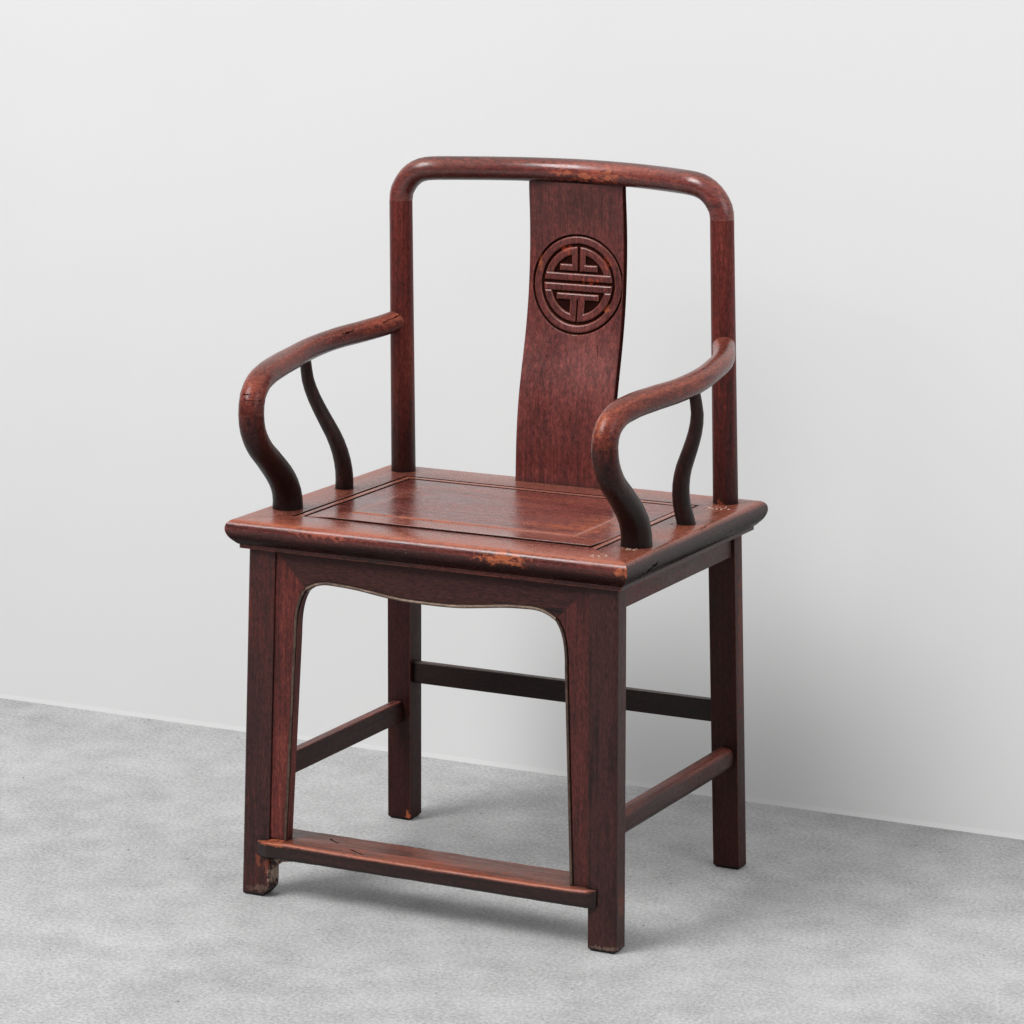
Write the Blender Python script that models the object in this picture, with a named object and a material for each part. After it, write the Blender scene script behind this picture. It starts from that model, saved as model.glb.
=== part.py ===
"""Ming style armchair with a bowed crest rail, curved arms and a moulded seat frame.

Metres, +Z up. The chair faces -Y, and left and right are as seen from the front, so left is -X.
Every piece is a separate timber, held by mortise and tenon, mitre, groove or pipe joint.
"""

import math

import bmesh
import bpy
import numpy as np
from mathutils import Matrix, Vector

# Fit between pieces
FIT = 0.0003                 # gap left where two pieces touch
TENON_DEPTH = 0.012          # how far a stretcher or apron tenon enters its leg

# Seat frame, measured to the upper edge of its moulding
SEAT_WIDTH = 0.580
SEAT_DEPTH = 0.447
SEAT_HEIGHT = 0.5212
FRAME_THICK = 0.040
FRONT_RAIL_WIDTH = 0.063
BACK_RAIL_WIDTH = 0.083
LEFT_RAIL_WIDTH = 0.0745
RIGHT_RAIL_WIDTH = 0.0765
MOULD_PROUD = 0.006          # how far the thumb moulding swells past the upper edge
MOULD_HEIGHT = 0.034
BEAD_SETBACK = 0.0085        # the narrow fillet below the thumb moulding
CORNER_REACH = 0.012         # the mitre runs at 45 degrees as far as the moulding goes

# Seat panel and its battens
PANEL_THICK = 0.012
PANEL_DROP = 0.0006          # its margin lies a little below the frame
PANEL_RISE = 0.0022          # its raised field stands above the margin
PANEL_MARGIN = 0.048
TONGUE_THICK = 0.006
TONGUE_DEPTH = 0.007
GROOVE_DEPTH = 0.0075
BATTEN_WIDTH = 0.032
BATTEN_THICK = 0.018
BATTEN_SPREAD = 0.100        # each batten's distance from the middle
BATTEN_KEY = 0.004           # the dovetail that enters the panel
BATTEN_TENON = 0.010

# Legs: splayed both ways, with a rounded outer corner
LEG_WIDTH = 0.040            # the boards and stretchers are set out from legs of this width
LEFT_FRONT_LEG_WIDTH = 0.042
RIGHT_FRONT_LEG_WIDTH = 0.0405
LEFT_BACK_LEG_WIDTH = 0.038
RIGHT_BACK_LEG_WIDTH = 0.0405
FRONT_LEG_DEPTH = 0.029
BACK_LEG_DEPTH = 0.0352
FRONT_LEG_ROUND = 0.0055
BACK_LEG_ROUND = 0.0135
LEG_EASE = 0.0015
LEG_INSET_SIDE = 0.0188      # from the seat edge to the leg, at the top
LEG_INSET_FRONT = 0.0170
LEG_INSET_BACK = 0.0173
SPLAY_SIDE = 0.0092          # how much further out the foot stands
SPLAY_FRONT = 0.0140
SPLAY_BACK = 0.0152
FOOT_EASE = 0.002
LEG_TENON = 0.016
LEG_TENON_HEIGHT = 0.020

# Back posts and crest rail
POST_FOOT_RADIUS = 0.0176
POST_RADIUS = 0.0164         # at its upper end
CREST_RADIUS = 0.0166
CREST_HALF_WIDTH = 0.2453
CREST_INSET = 0.0515         # from the seat's back edge to the crest's ends
CREST_HEIGHT = 0.9583
CREST_CORNER = 0.0475
CREST_BOW = 0.063
PIPE_TENON = 0.012
PIPE_TENON_HEIGHT = 0.022

# Splat
SPLAT_WIDTH_TOP = 0.145
SPLAT_WIDTH_FOOT = 0.150
SPLAT_THICK = 0.012
SPLAT_INSET = 0.0245         # from the seat's back edge to its foot
SPLAT_LEAN = 0.0394          # how far back its curve reaches from there
SPLAT_EASE = 0.002
SPLAT_TENON_THICK = 0.006
SPLAT_TENON_DEPTH = 0.010

# Arms and front posts
ARM_RADIUS_BACK = 0.0152
ARM_RADIUS_MIDDLE = 0.0149
ARM_RADIUS_FRONT = 0.0172
ARM_HEIGHT = 0.7427          # where the arm meets the back post
ARM_SETBACK = 0.0042         # its front bend, behind the seat's front edge
ARM_BOW = 0.0441             # how far it swells outwards
ARM_JOINT_HEIGHT = 0.6650
ARM_END_OUT = 0.0108         # its front end, outwards from its back end
ARM_PEG = 0.006
FRONT_POST_FOOT_RADIUS = 0.0208
FRONT_POST_FOOT_OUT = 0.260
FRONT_POST_SETBACK = 0.0995  # its foot, behind the seat's front edge
FRONT_POST_PEG = 0.011
SIDE_POST_FOOT_RADIUS = 0.0130
SIDE_POST_TOP_RADIUS = 0.0075
SIDE_POST_FOOT_OUT = 0.2606
SIDE_POST_FOOT_PLACE = 0.0325
SIDE_POST_BOW = 0.0325
SIDE_POST_HEAD_PLACE = -0.0215
SIDE_POST_PEG = 0.0065
SIDE_POST_HEAD_PEG = 0.004
SEAT_PEG_DEPTH = 0.018

# Front opening: apron and two spandrels, mitred together
BOARD_THICK = 0.0145
BOARD_SETBACK = 0.003        # behind the face of the leg
ARCH_DROP = 0.0504           # depth of the apron at the middle
ARCH_RISE = 0.0106           # the arch lifts this much on either side
ARCH_HALF_WIDTH = 0.184      # to where the mitre meets the arch
SPANDREL_WIDTH = 0.0345
SPANDREL_FOOT_WIDTH = 0.0265
SPANDREL_SHOULDER = 0.112    # from the frame to where the spandrel's edge runs straight
EDGE_TONGUE = 0.004
EDGE_TONGUE_THICK = 0.005

# Aprons at the sides and back
SIDE_APRON_DEPTH = 0.0312
SIDE_APRON_SETBACK = 0.0045
APRON_TENON_THICK = 0.006

# Stretchers
STRETCHER_HEIGHT = 0.0313
STRETCHER_THICK = 0.0205
STRETCHER_ROUND = 0.010      # along both edges of its outer side
STRETCHER_EASE = 0.002
STRETCHER_SETBACK = 0.006
STRETCHER_TENON_HEIGHT = 0.019
STRETCHER_TENON_THICK = 0.010
LEFT_STRETCHER_TOP = 0.1815
RIGHT_STRETCHER_TOP = 0.1772
REAR_STRETCHER_TOP = 0.2402
FOOTREST_TOP = 0.084
FOOTREST_THICK = 0.0252
FOOTREST_DEPTH = 0.068       # from its front to its back edge
FOOTREST_PROUD = 0.010       # it stands ahead of the legs
FOOTREST_LAP = 0.018         # its lip laps over each leg
FOOTREST_EASE = 0.0025
BRACKET_LENGTH = 0.046
BRACKET_DEPTH = 0.013

# Shapes as shares of the sizes above
MOULDING_SHARES = ((-0.15, 0.0), (0.5, 0.10), (0.9, 0.24), (1.0, 0.40), (0.75, 0.58), (0.25, 0.74),
                   (-0.45, 0.88), (-1.15, 1.0))
# along, outwards, down
ARM_SHARES = ((0.0, 0.0, 0.0), (0.06, 0.25, 0.08), (0.15, 0.58, 0.15), (0.30, 0.87, 0.20),
              (0.45, 1.0, 0.27), (0.60, 0.90, 0.34), (0.75, 0.67, 0.38), (0.86, 0.48, 0.43),
              (0.94, 0.34, 0.53), (0.985, 0.27, 0.71))
# upwards, forwards
FRONT_POST_SHARES = ((0.0, 0.0), (0.10, 0.005), (0.20, 0.055), (0.30, 0.16), (0.50, 0.48), (0.70, 0.82),
                     (0.85, 0.96), (1.0, 1.0))
# upwards, outwards
SIDE_POST_SHARES = ((0.0, 0.0), (0.10, -0.10), (0.20, -0.11), (0.30, -0.03), (0.40, 0.15), (0.50, 0.42),
                    (0.60, 0.68), (0.70, 0.89), (0.80, 1.0), (0.90, 0.98), (1.0, 0.95))
# upwards, backwards
SPLAT_SHARES = ((0.0, 0.0), (0.08, 0.0), (0.17, 0.04), (0.26, 0.14), (0.32, 0.25), (0.37, 0.39),
                (0.47, 0.65), (0.57, 0.85), (0.66, 0.95), (0.76, 1.0), (0.86, 0.98), (0.96, 0.88), (1.0, 0.82))
# outwards from the middle, upwards
ARCH_SHARES = ((0.0, 0.0), (0.25, 0.11), (0.45, 0.50), (0.60, 0.82), (0.76, 0.97), (0.87, 0.98),
               (0.93, 0.68), (1.0, 0.0))
APRON_TONGUE_SHARE = 0.8
CREST_BOW_POWER = 1.83
CREST_EASE_PASSES = 3

# Facets
ROD_SIDES = 24
THIN_SIDES = 14
ARM_RINGS = 36
POST_RINGS = 16
CREST_RINGS = 20             # from the middle to one end
CORNER_STEPS = 5

# Wood tones: base colour and roughness
DARK_WOOD = ((0.060, 0.022, 0.018), 0.34)
RED_WOOD = ((0.095, 0.030, 0.022), 0.32)
WORN_WOOD = ((0.150, 0.052, 0.038), 0.36)

SIDES = (("left", -1), ("right", 1))
UNDERSIDE = SEAT_HEIGHT - FRAME_THICK
LEG_TOP = UNDERSIDE - FIT
CREST_JOINT = CREST_HEIGHT - CREST_CORNER

# Legs by side and end: -1 is left and front
LEG_WIDTHS = {(-1, -1): LEFT_FRONT_LEG_WIDTH, (1, -1): RIGHT_FRONT_LEG_WIDTH,
              (-1, 1): LEFT_BACK_LEG_WIDTH, (1, 1): RIGHT_BACK_LEG_WIDTH}
LEG_DEPTHS = {-1: FRONT_LEG_DEPTH, 1: BACK_LEG_DEPTH}
LEG_ROUNDS = {-1: FRONT_LEG_ROUND, 1: BACK_LEG_ROUND}

# Places along Y, from the middle of the seat
CREST_PLACE = SEAT_DEPTH / 2 - CREST_INSET
SPLAT_PLACE = SEAT_DEPTH / 2 - SPLAT_INSET
ARM_FRONT = SEAT_DEPTH / 2 - ARM_SETBACK
FRONT_POST_FOOT_PLACE = SEAT_DEPTH / 2 - FRONT_POST_SETBACK

pieces = {}


def finish(name, tone):
    """A material of the piece's own."""
    colour, roughness = tone
    material = bpy.data.materials.new(name + "_wood")
    material.use_nodes = True
    shader = material.node_tree.nodes["Principled BSDF"]
    shader.inputs["Base Color"].default_value = (*colour, 1.0)
    shader.inputs["Roughness"].default_value = roughness
    shader.inputs["Metallic"].default_value = 0.0
    return material


def mesh_object(name, sections):
    """A closed solid through rings of equally many points, with a flat cap on each end."""
    shape = bmesh.new()
    rings = [[shape.verts.new(point) for point in section] for section in sections]
    count = len(rings[0])
    for low, high in zip(rings, rings[1:]):
        for i in range(count):
            j = (i + 1) % count
            shape.faces.new((low[i], low[j], high[j], high[i]))
    shape.faces.new(rings[0][::-1])
    shape.faces.new(rings[-1])
    bmesh.ops.recalc_face_normals(shape, faces=shape.faces)
    mesh = bpy.data.meshes.new(name)
    shape.to_mesh(mesh)
    shape.free()
    made = bpy.data.objects.new(name, mesh)
    bpy.context.scene.collection.objects.link(made)
    return made


def boolean(piece, tool, operation):
    """Joins the tool to the piece, or cuts it out, and uses the tool up."""
    tool.hide_render = True
    tool.display_type = "WIRE"
    change = piece.modifiers.new(operation.title(), "BOOLEAN")
    change.operation = operation
    change.solver = "EXACT"
    change.object = tool
    bpy.context.view_layer.update()
    graph = bpy.context.evaluated_depsgraph_get()
    mesh = bpy.data.meshes.new_from_object(piece.evaluated_get(graph))
    piece.modifiers.clear()
    worn_out = piece.data
    piece.data = mesh
    bpy.data.meshes.remove(worn_out)
    used_up = tool.data
    bpy.data.objects.remove(tool)
    bpy.data.meshes.remove(used_up)


def cut(name, tool):
    boolean(pieces[name], tool, "DIFFERENCE")


def tenon(owner, hosts, shape, *sizes):
    """Adds a tenon to its owner and cuts its mortise, wider by the fit, in each host."""
    boolean(pieces[owner], shape(*sizes, 0.0), "UNION")
    for host in hosts:
        cut(host, shape(*sizes, FIT))


def block(low, high, grow):
    """A box between two corners."""
    (x0, y0, z0), (x1, y1, z1) = low, high
    x0, y0, z0 = x0 - grow, y0 - grow, z0 - grow
    x1, y1, z1 = x1 + grow, y1 + grow, z1 + grow
    base = [(x0, y0), (x1, y0), (x1, y1), (x0, y1)]
    return mesh_object("block", [[(x, y, z) for x, y in base] for z in (z0, z1)])


def post_block(centre, size, low, high, grow):
    """A square upright tenon round a centre in plan."""
    half = size / 2
    x, y = centre
    return block((x - half, y - half, low), (x + half, y + half, high), grow)


def rounded_outline(half_x, half_y, radii, grow=0.0):
    """A rectangle round the origin with its own radius at the (+,+), (-,+), (-,-) and (+,-) corners."""
    outline = []
    for quarter, radius in enumerate(radii):
        sx = 1 if quarter in (0, 3) else -1
        sy = 1 if quarter in (0, 1) else -1
        for step in range(CORNER_STEPS):
            angle = math.pi / 2 * (quarter + step / (CORNER_STEPS - 1))
            x = sx * (half_x - radius) + (radius + grow) * math.cos(angle)
            y = sy * (half_y - radius) + (radius + grow) * math.sin(angle)
            outline.append((x, y))
    return outline


def circle(centre, radius, height, sides=ROD_SIDES):
    """A level ring with a corner straight ahead and straight behind."""
    turns = [2 * math.pi * (i / sides + 0.25) for i in range(sides)]
    return [(centre[0] + radius * math.cos(a), centre[1] + radius * math.sin(a), height) for a in turns]


def smooth_path(points, count, first=None, last=None):
    """Evenly spaced points on a smooth curve through the given ones; first and last are end directions."""
    points = np.array(points, float)
    reach = np.concatenate([[0.0], np.cumsum(np.linalg.norm(np.diff(points, axis=0), axis=1))])
    slopes = np.gradient(points, reach, axis=0)
    if first is not None:
        slopes[0] = first
    if last is not None:
        slopes[-1] = last
    fine = []
    for i in range(len(points) - 1):
        span = reach[i + 1] - reach[i]
        for t in np.linspace(0.0, 1.0, count, endpoint=False):
            fine.append((2 * t**3 - 3 * t**2 + 1) * points[i] + (t**3 - 2 * t**2 + t) * span * slopes[i]
                        + (3 * t**2 - 2 * t**3) * points[i + 1] + (t**3 - t**2) * span * slopes[i + 1])
    fine = np.array(fine + [points[-1]])
    run = np.concatenate([[0.0], np.cumsum(np.linalg.norm(np.diff(fine, axis=0), axis=1))])
    even = np.linspace(0.0, run[-1], count)
    return np.stack([np.interp(even, run, fine[:, axis]) for axis in range(3)], axis=1)


def rod(name, path, radii, sides, first, last, grow=0.0):
    """A round rod along a path, with its ends square to the first and last directions."""
    path = [Vector(point) for point in path]
    radii = [float(radius) for radius in radii]
    headings = [first] + [(b - a).normalized() for a, b in zip(path, path[2:])] + [last]
    across = Vector((0.0, 1.0, 0.0))
    across = (across - across.dot(first) * first).normalized()
    sections = []
    for point, heading, radius in zip(path, headings, radii):
        across = (across - across.dot(heading) * heading).normalized()
        beside = heading.cross(across)
        reach = radius + grow
        turns = [2 * math.pi * i / sides for i in range(sides)]
        sections.append([point + reach * (math.cos(a) * across + math.sin(a) * beside) for a in turns])
    return mesh_object(name, sections)


def peg(start, end, radius, grow):
    """A round peg between two points."""
    start, end = Vector(start), Vector(end)
    heading = (end - start).normalized()
    path = [start - heading * grow, (start + end) / 2, end + heading * grow]
    return rod("peg", path, [radius] * 3, THIN_SIDES, heading, heading, grow)


def keep(name, made, tone, origin):
    """Names a piece, gives it its material and puts its origin where it is set out from."""
    made.name = name
    made.data.name = name
    made.data.materials.clear()
    made.data.materials.append(finish(name, tone))
    pieces[name] = made
    made["origin"] = origin


# Legs and back posts


def leg_outer(height, end):
    """The leg's outer side and outer face at a height: end is -1 at the front, 1 at the back."""
    down = 1 - height / LEG_TOP
    inset, splay = (LEG_INSET_FRONT, SPLAY_FRONT) if end < 0 else (LEG_INSET_BACK, SPLAY_BACK)
    return SEAT_WIDTH / 2 - LEG_INSET_SIDE + SPLAY_SIDE * down, SEAT_DEPTH / 2 - inset + splay * down


def leg_inner(height, end):
    outer_x, outer_y = leg_outer(height, end)
    return outer_x - LEG_WIDTH, outer_y - LEG_DEPTHS[end]


def leg_centre(height, side, end):
    outer_x, outer_y = leg_outer(height, end)
    return side * (outer_x - LEG_WIDTH / 2), end * (outer_y - LEG_DEPTHS[end] / 2)


def make_leg(side, end, grow=0.0):
    """A leg whose outer corner is rounded, standing on its eased foot; its own width lies to the outside."""
    corner = {(1, 1): 0, (-1, 1): 1, (-1, -1): 2, (1, -1): 3}[(side, end)]
    radii = [LEG_EASE] * 4
    radii[corner] = LEG_ROUNDS[end]
    width = LEG_WIDTHS[side, end]
    sections = []
    for height, shrink in ((0.0, FOOT_EASE), (FOOT_EASE, 0.0), (LEG_TOP, 0.0)):
        x, y = leg_centre(height, side, end)
        x += side * (width - LEG_WIDTH) / 2
        outline = rounded_outline(width / 2, LEG_DEPTHS[end] / 2, radii, grow - shrink)
        sections.append([(x + dx, y + dy, height) for dx, dy in outline])
    return mesh_object("leg", sections)


def post_share(height):
    return (height - LEG_TOP) / (CREST_JOINT - LEG_TOP)


def post_centre(height, side):
    """The back post rises from the middle of its leg and leans a little inwards and forwards."""
    share = post_share(height)
    x, y = leg_centre(LEG_TOP, side, 1)
    return x + (side * CREST_HALF_WIDTH - x) * share, y + (CREST_PLACE - y) * share


def post_ring(height, side, grow):
    """The back post tapers upwards."""
    radius = POST_FOOT_RADIUS + (POST_RADIUS - POST_FOOT_RADIUS) * post_share(height)
    return circle(post_centre(height, side), radius + grow, height)


def make_post(side, grow=0.0):
    low = LEG_TOP - POST_FOOT_RADIUS
    return mesh_object("post", [post_ring(height, side, grow) for height in (low, CREST_JOINT)])


def post_core(side):
    """The back post and its neck, which runs down inside the leg."""
    low = LEG_TOP - POST_FOOT_RADIUS
    neck = circle(post_centre(low, side), POST_FOOT_RADIUS / 2, low)
    return mesh_object("post", [neck, post_ring(LEG_TOP, side, 0.0), post_ring(CREST_JOINT, side, 0.0)])


def build_legs():
    for word, side in SIDES:
        keep("front_leg_" + word, make_leg(side, -1), DARK_WOOD, (*leg_centre(0.0, side, -1), 0.0))
        keep("back_post_" + word, make_leg(side, 1), DARK_WOOD, (*leg_centre(0.0, side, 1), 0.0))
        boolean(pieces["back_post_" + word], post_core(side), "UNION")


# Seat


def frame_profile(width):
    """The section of a frame member: outwards from the seat edge, and up from the frame's top."""
    outline = [(-width, 0.0)]
    outline += [(out * MOULD_PROUD, -down * MOULD_HEIGHT) for out, down in MOULDING_SHARES]
    outline += [(-BEAD_SETBACK, -MOULD_HEIGHT), (-BEAD_SETBACK, -FRAME_THICK), (-width, -FRAME_THICK)]
    upper = (PANEL_THICK - TONGUE_THICK) / 2 + PANEL_DROP - FIT
    lower = upper + TONGUE_THICK + 2 * FIT
    floor = GROOVE_DEPTH - width
    return [*outline, (-width, -lower), (floor, -lower), (floor, -upper), (-width, -upper)]


def mitre_line(width_x, width_y):
    """Plan of a mitre from outside the corner to past its inner end, as distances in from the two edges."""
    spill = MOULD_PROUD * 3
    slope = (width_x - CORNER_REACH) / (width_y - CORNER_REACH)
    past = (width_x + GROOVE_DEPTH * slope, width_y + GROOVE_DEPTH)
    return [(-spill, -spill), (CORNER_REACH, CORNER_REACH), (width_x, width_y), past]


def mitre_waste(side, end, width_x, width_y, of_rail):
    """What a mitre takes off the end of a rail that runs along X, or of one that runs along Y."""
    line = mitre_line(width_x, width_y)
    if of_rail:
        plan = [(-SEAT_DEPTH, line[0][1]), *line, (-SEAT_DEPTH, line[-1][1])]
        shift = FIT * math.sqrt(2)
    else:
        plan = [(line[0][0], -SEAT_DEPTH), *line, (line[-1][0], -SEAT_DEPTH)]
        shift = 0.0
    half_x, half_y = SEAT_WIDTH / 2, SEAT_DEPTH / 2
    points = [(side * (half_x - x - shift), end * (half_y - y)) for x, y in plan]
    heights = (UNDERSIDE - FRAME_THICK, SEAT_HEIGHT + FRAME_THICK)
    return mesh_object("waste", [[(x, y, z) for x, y in points] for z in heights])


def rail_widths():
    return {-1: LEFT_RAIL_WIDTH, 1: RIGHT_RAIL_WIDTH}, {-1: FRONT_RAIL_WIDTH, 1: BACK_RAIL_WIDTH}


def build_frame():
    width_x, width_y = rail_widths()
    half_x, half_y = SEAT_WIDTH / 2, SEAT_DEPTH / 2
    for name, end in (("seat_front_rail", -1), ("seat_back_rail", 1)):
        reach = half_x + MOULD_PROUD * 2
        sections = [[(x, end * (half_y + out), SEAT_HEIGHT + up) for out, up in frame_profile(width_y[end])]
                    for x in (-reach, reach)]
        keep(name, mesh_object(name, sections), WORN_WOOD, (0.0, end * half_y, SEAT_HEIGHT))
        for side in (-1, 1):
            cut(name, mitre_waste(side, end, width_x[side], width_y[end], True))
    for word, side in SIDES:
        name = "seat_side_rail_" + word
        reach = half_y + MOULD_PROUD * 2
        sections = [[(side * (half_x + out), y, SEAT_HEIGHT + up) for out, up in frame_profile(width_x[side])]
                    for y in (-reach, reach)]
        keep(name, mesh_object(name, sections), WORN_WOOD, (side * half_x, 0.0, SEAT_HEIGHT))
        for end in (-1, 1):
            cut(name, mitre_waste(side, end, width_x[side], width_y[end], False))


def panel_opening():
    """The frame's inner edges: left, front, right and back."""
    half_x, half_y = SEAT_WIDTH / 2, SEAT_DEPTH / 2
    left, front = LEFT_RAIL_WIDTH - half_x, FRONT_RAIL_WIDTH - half_y
    return left, front, half_x - RIGHT_RAIL_WIDTH, half_y - BACK_RAIL_WIDTH


def build_panel():
    """A board whose tongue runs in the frame's groove, with a bevelled margin round a raised field."""
    left, front, right, back = panel_opening()
    top = SEAT_HEIGHT - PANEL_DROP
    tongue_top = top - (PANEL_THICK - TONGUE_THICK) / 2
    tongue_bottom = tongue_top - TONGUE_THICK
    bottom = top - PANEL_THICK
    rings = []
    for inset, height in ((FIT, bottom), (FIT, tongue_bottom), (-TONGUE_DEPTH, tongue_bottom),
                          (-TONGUE_DEPTH, tongue_top), (FIT, tongue_top), (FIT, top),
                          (PANEL_MARGIN, top + PANEL_RISE)):
        rings.append([(left + inset, front + inset, height), (right - inset, front + inset, height),
                      (right - inset, back - inset, height), (left + inset, back - inset, height)])
    middle = ((left + right) / 2, (front + back) / 2, top)
    keep("seat_panel", mesh_object("seat_panel", rings), WORN_WOOD, middle)


def batten_key(x, front, back, low, high, grow):
    """The dovetail on a batten's upper side."""
    narrow, wide = BATTEN_WIDTH / 4, BATTEN_WIDTH / 4 + BATTEN_KEY / 2
    outline = [(-narrow, low - grow), (narrow, low - grow), (wide, high), (-wide, high)]
    section = [(dx + math.copysign(grow, dx), z + (grow if z == high else 0.0)) for dx, z in outline]
    return mesh_object("key", [[(x + dx, y, z) for dx, z in section] for y in (front, back)])


def build_battens():
    """Two bars under the panel, tenoned into the front and back rails."""
    left, front, right, back = panel_opening()
    top = SEAT_HEIGHT - PANEL_DROP - PANEL_THICK - FIT
    bottom = top - BATTEN_THICK
    for word, side in SIDES:
        name = "seat_batten_" + word
        x = side * BATTEN_SPREAD
        half = BATTEN_WIDTH / 2
        bar = block((x - half, front + FIT, bottom), (x + half, back - FIT, top), 0.0)
        keep(name, bar, DARK_WOOD, (x, 0.0, top))
        root, ridge = top - BATTEN_KEY, top + BATTEN_KEY
        boolean(pieces[name], batten_key(x, front + FIT, back - FIT, root, ridge, 0.0), "UNION")
        cut("seat_panel", batten_key(x, front - FIT, back + FIT, root, ridge, FIT))
        middle = (top + bottom) / 2
        inner = half / 2
        for rail, low, high in (("seat_front_rail", front - BATTEN_TENON, front + BATTEN_TENON),
                                ("seat_back_rail", back - BATTEN_TENON, back + BATTEN_TENON)):
            tenon(name, [rail], block, (x - inner, low, middle - inner / 2),
                  (x + inner, high, middle + inner / 2))


def join_frame():
    """Mitre tenons at the front, leg tenons, and holes for the back posts."""
    width_x, width_y = rail_widths()
    for word, side in SIDES:
        member = "seat_side_rail_" + word
        inner = SEAT_WIDTH / 2 - width_x[side]
        low = UNDERSIDE + FRAME_THICK / 4
        high = low + FRAME_THICK / 4
        edges = sorted((side * (inner + GROOVE_DEPTH), side * (inner + GROOVE_DEPTH * 3)))
        mitre = -SEAT_DEPTH / 2 + width_y[-1]
        tenon(member, ["seat_front_rail"], block, (edges[0], mitre - BATTEN_WIDTH, low),
              (edges[1], mitre + BATTEN_WIDTH, high))
        tenon("front_leg_" + word, [member, "seat_front_rail"], post_block, leg_centre(LEG_TOP, side, -1),
              LEG_TENON, LEG_TOP - LEG_TENON, LEG_TOP + LEG_TENON_HEIGHT)
        cut(member, make_post(side, FIT))
        cut("seat_back_rail", make_post(side, FIT))


# Crest rail and splat


def crest_path():
    """From the left joint up, round the corner and along the bowed rail to the right joint."""
    straight = CREST_HALF_WIDTH - CREST_CORNER
    half = []
    for step in range(CREST_RINGS):
        across = straight * step / (CREST_RINGS - 1)
        bow = CREST_BOW * (1 - (across / straight) ** CREST_BOW_POWER)
        half.append((across, CREST_PLACE + bow, CREST_HEIGHT))
    turns = [math.pi / 2 * (1 - step / CORNER_STEPS / 2) for step in range(1, 2 * CORNER_STEPS + 1)]
    for turn in turns:
        half.append((straight + CREST_CORNER * math.cos(turn), CREST_PLACE,
                     CREST_JOINT + CREST_CORNER * math.sin(turn)))
    for _ in range(CREST_EASE_PASSES):
        threes = zip(half, half[1:], half[2:])
        eased = [tuple((a + 2 * b + c) / 4 for a, b, c in zip(*three)) for three in threes]
        half = [half[0], *eased[:-2], *half[-3:]]
    half[-1] = (*half[-1][:2], CREST_JOINT + FIT)
    return [(-x, y, z) for x, y, z in half[:0:-1]] + half


def make_crest(grow=0.0):
    path = crest_path()
    up = Vector((0.0, 0.0, 1.0))
    return rod("crest", path, [CREST_RADIUS] * len(path), ROD_SIDES, up, -up, grow)


def splat_middle(height):
    """How far behind the middle of the seat the splat's middle layer lies at a height."""
    foot = SEAT_HEIGHT + FIT
    ups, backs = zip(*SPLAT_SHARES)
    share = (height - foot) / (CREST_HEIGHT - CREST_RADIUS - foot)
    return SPLAT_PLACE + SPLAT_LEAN * float(np.interp(share, ups, backs))


def splat_heights(low, high, count):
    return [low + (high - low) * i / (count - 1) for i in range(count)]


def splat_rows(low, high, count, thick, trim, ease):
    """Level sections of the splat, rounded along both edges by the ease."""
    foot = SEAT_HEIGHT + FIT
    heights = splat_heights(low, high, count)
    middles = [splat_middle(height) for height in heights]
    eased = [(a + b + c) / 3 for a, b, c in zip(middles, middles[1:], middles[2:])]
    smooth = [middles[0], *eased, middles[-1]]
    rows = []
    for height, middle in zip(heights, smooth):
        share = (height - foot) / (CREST_HEIGHT - foot)
        half = (SPLAT_WIDTH_FOOT + (SPLAT_WIDTH_TOP - SPLAT_WIDTH_FOOT) * share) / 2 - trim
        deep = thick / 2
        outline = [(half - ease, -deep), (half, -deep + ease), (half, deep - ease), (half - ease, deep),
                   (ease - half, deep), (-half, deep - ease), (-half, ease - deep), (ease - half, -deep)]
        rows.append([(x, middle + y, height) for x, y in outline])
    return rows


def splat_tenon(low, high, grow):
    """The thin tongue on either end of the splat."""
    thick, trim = SPLAT_TENON_THICK + 2 * grow, SPLAT_TENON_THICK - grow
    return mesh_object("tongue", splat_rows(low - grow, high + grow, 2, thick, trim, SPLAT_EASE / 2))


def build_back():
    keep("crest_rail", make_crest(), RED_WOOD, (0.0, CREST_PLACE, CREST_HEIGHT))
    foot = SEAT_HEIGHT + FIT
    head = CREST_HEIGHT - CREST_RADIUS / 4
    board = mesh_object("splat", splat_rows(foot, head, 26, SPLAT_THICK, 0.0, SPLAT_EASE))
    keep("splat", board, RED_WOOD, (0.0, SPLAT_PLACE, foot))
    cut("splat", make_crest(FIT))
    tenon("splat", ["seat_back_rail"], splat_tenon, foot - SPLAT_TENON_DEPTH, foot + SPLAT_TENON_DEPTH)
    under = CREST_HEIGHT - CREST_RADIUS
    tenon("splat", ["crest_rail"], splat_tenon, under - SPLAT_TENON_DEPTH, under + SPLAT_TENON_DEPTH)
    for word, side in SIDES:
        tenon("back_post_" + word, ["crest_rail"], post_block, post_centre(CREST_JOINT, side), PIPE_TENON,
              CREST_JOINT - PIPE_TENON, CREST_JOINT + PIPE_TENON_HEIGHT)


# Arms and their posts


def arm_path(side):
    """From the middle of the back post forwards and outwards, then down to the front post."""
    start_x, start_y = post_centre(ARM_HEIGHT, side)
    reach = start_y + ARM_FRONT
    drop = ARM_HEIGHT - ARM_JOINT_HEIGHT
    points = [(start_x + side * ARM_BOW * out, start_y - reach * along, ARM_HEIGHT - drop * down)
              for along, out, down in ARM_SHARES]
    points.append((start_x + side * ARM_END_OUT, -ARM_FRONT, ARM_JOINT_HEIGHT + FIT))
    return smooth_path(points, ARM_RINGS, last=(0.0, 0.0, -1.0))


def arm_radii():
    shares = np.linspace(0.0, 1.0, ARM_RINGS)
    return np.interp(shares, (0.0, 0.35, 0.9, 1.0),
                     (ARM_RADIUS_BACK, ARM_RADIUS_MIDDLE, ARM_RADIUS_FRONT, ARM_RADIUS_FRONT))


def make_arm(side, grow=0.0):
    path = arm_path(side)
    first = (Vector(path[1]) - Vector(path[0])).normalized()
    return rod("arm", path, arm_radii(), ROD_SIDES, first, Vector((0.0, 0.0, -1.0)), grow)


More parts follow.
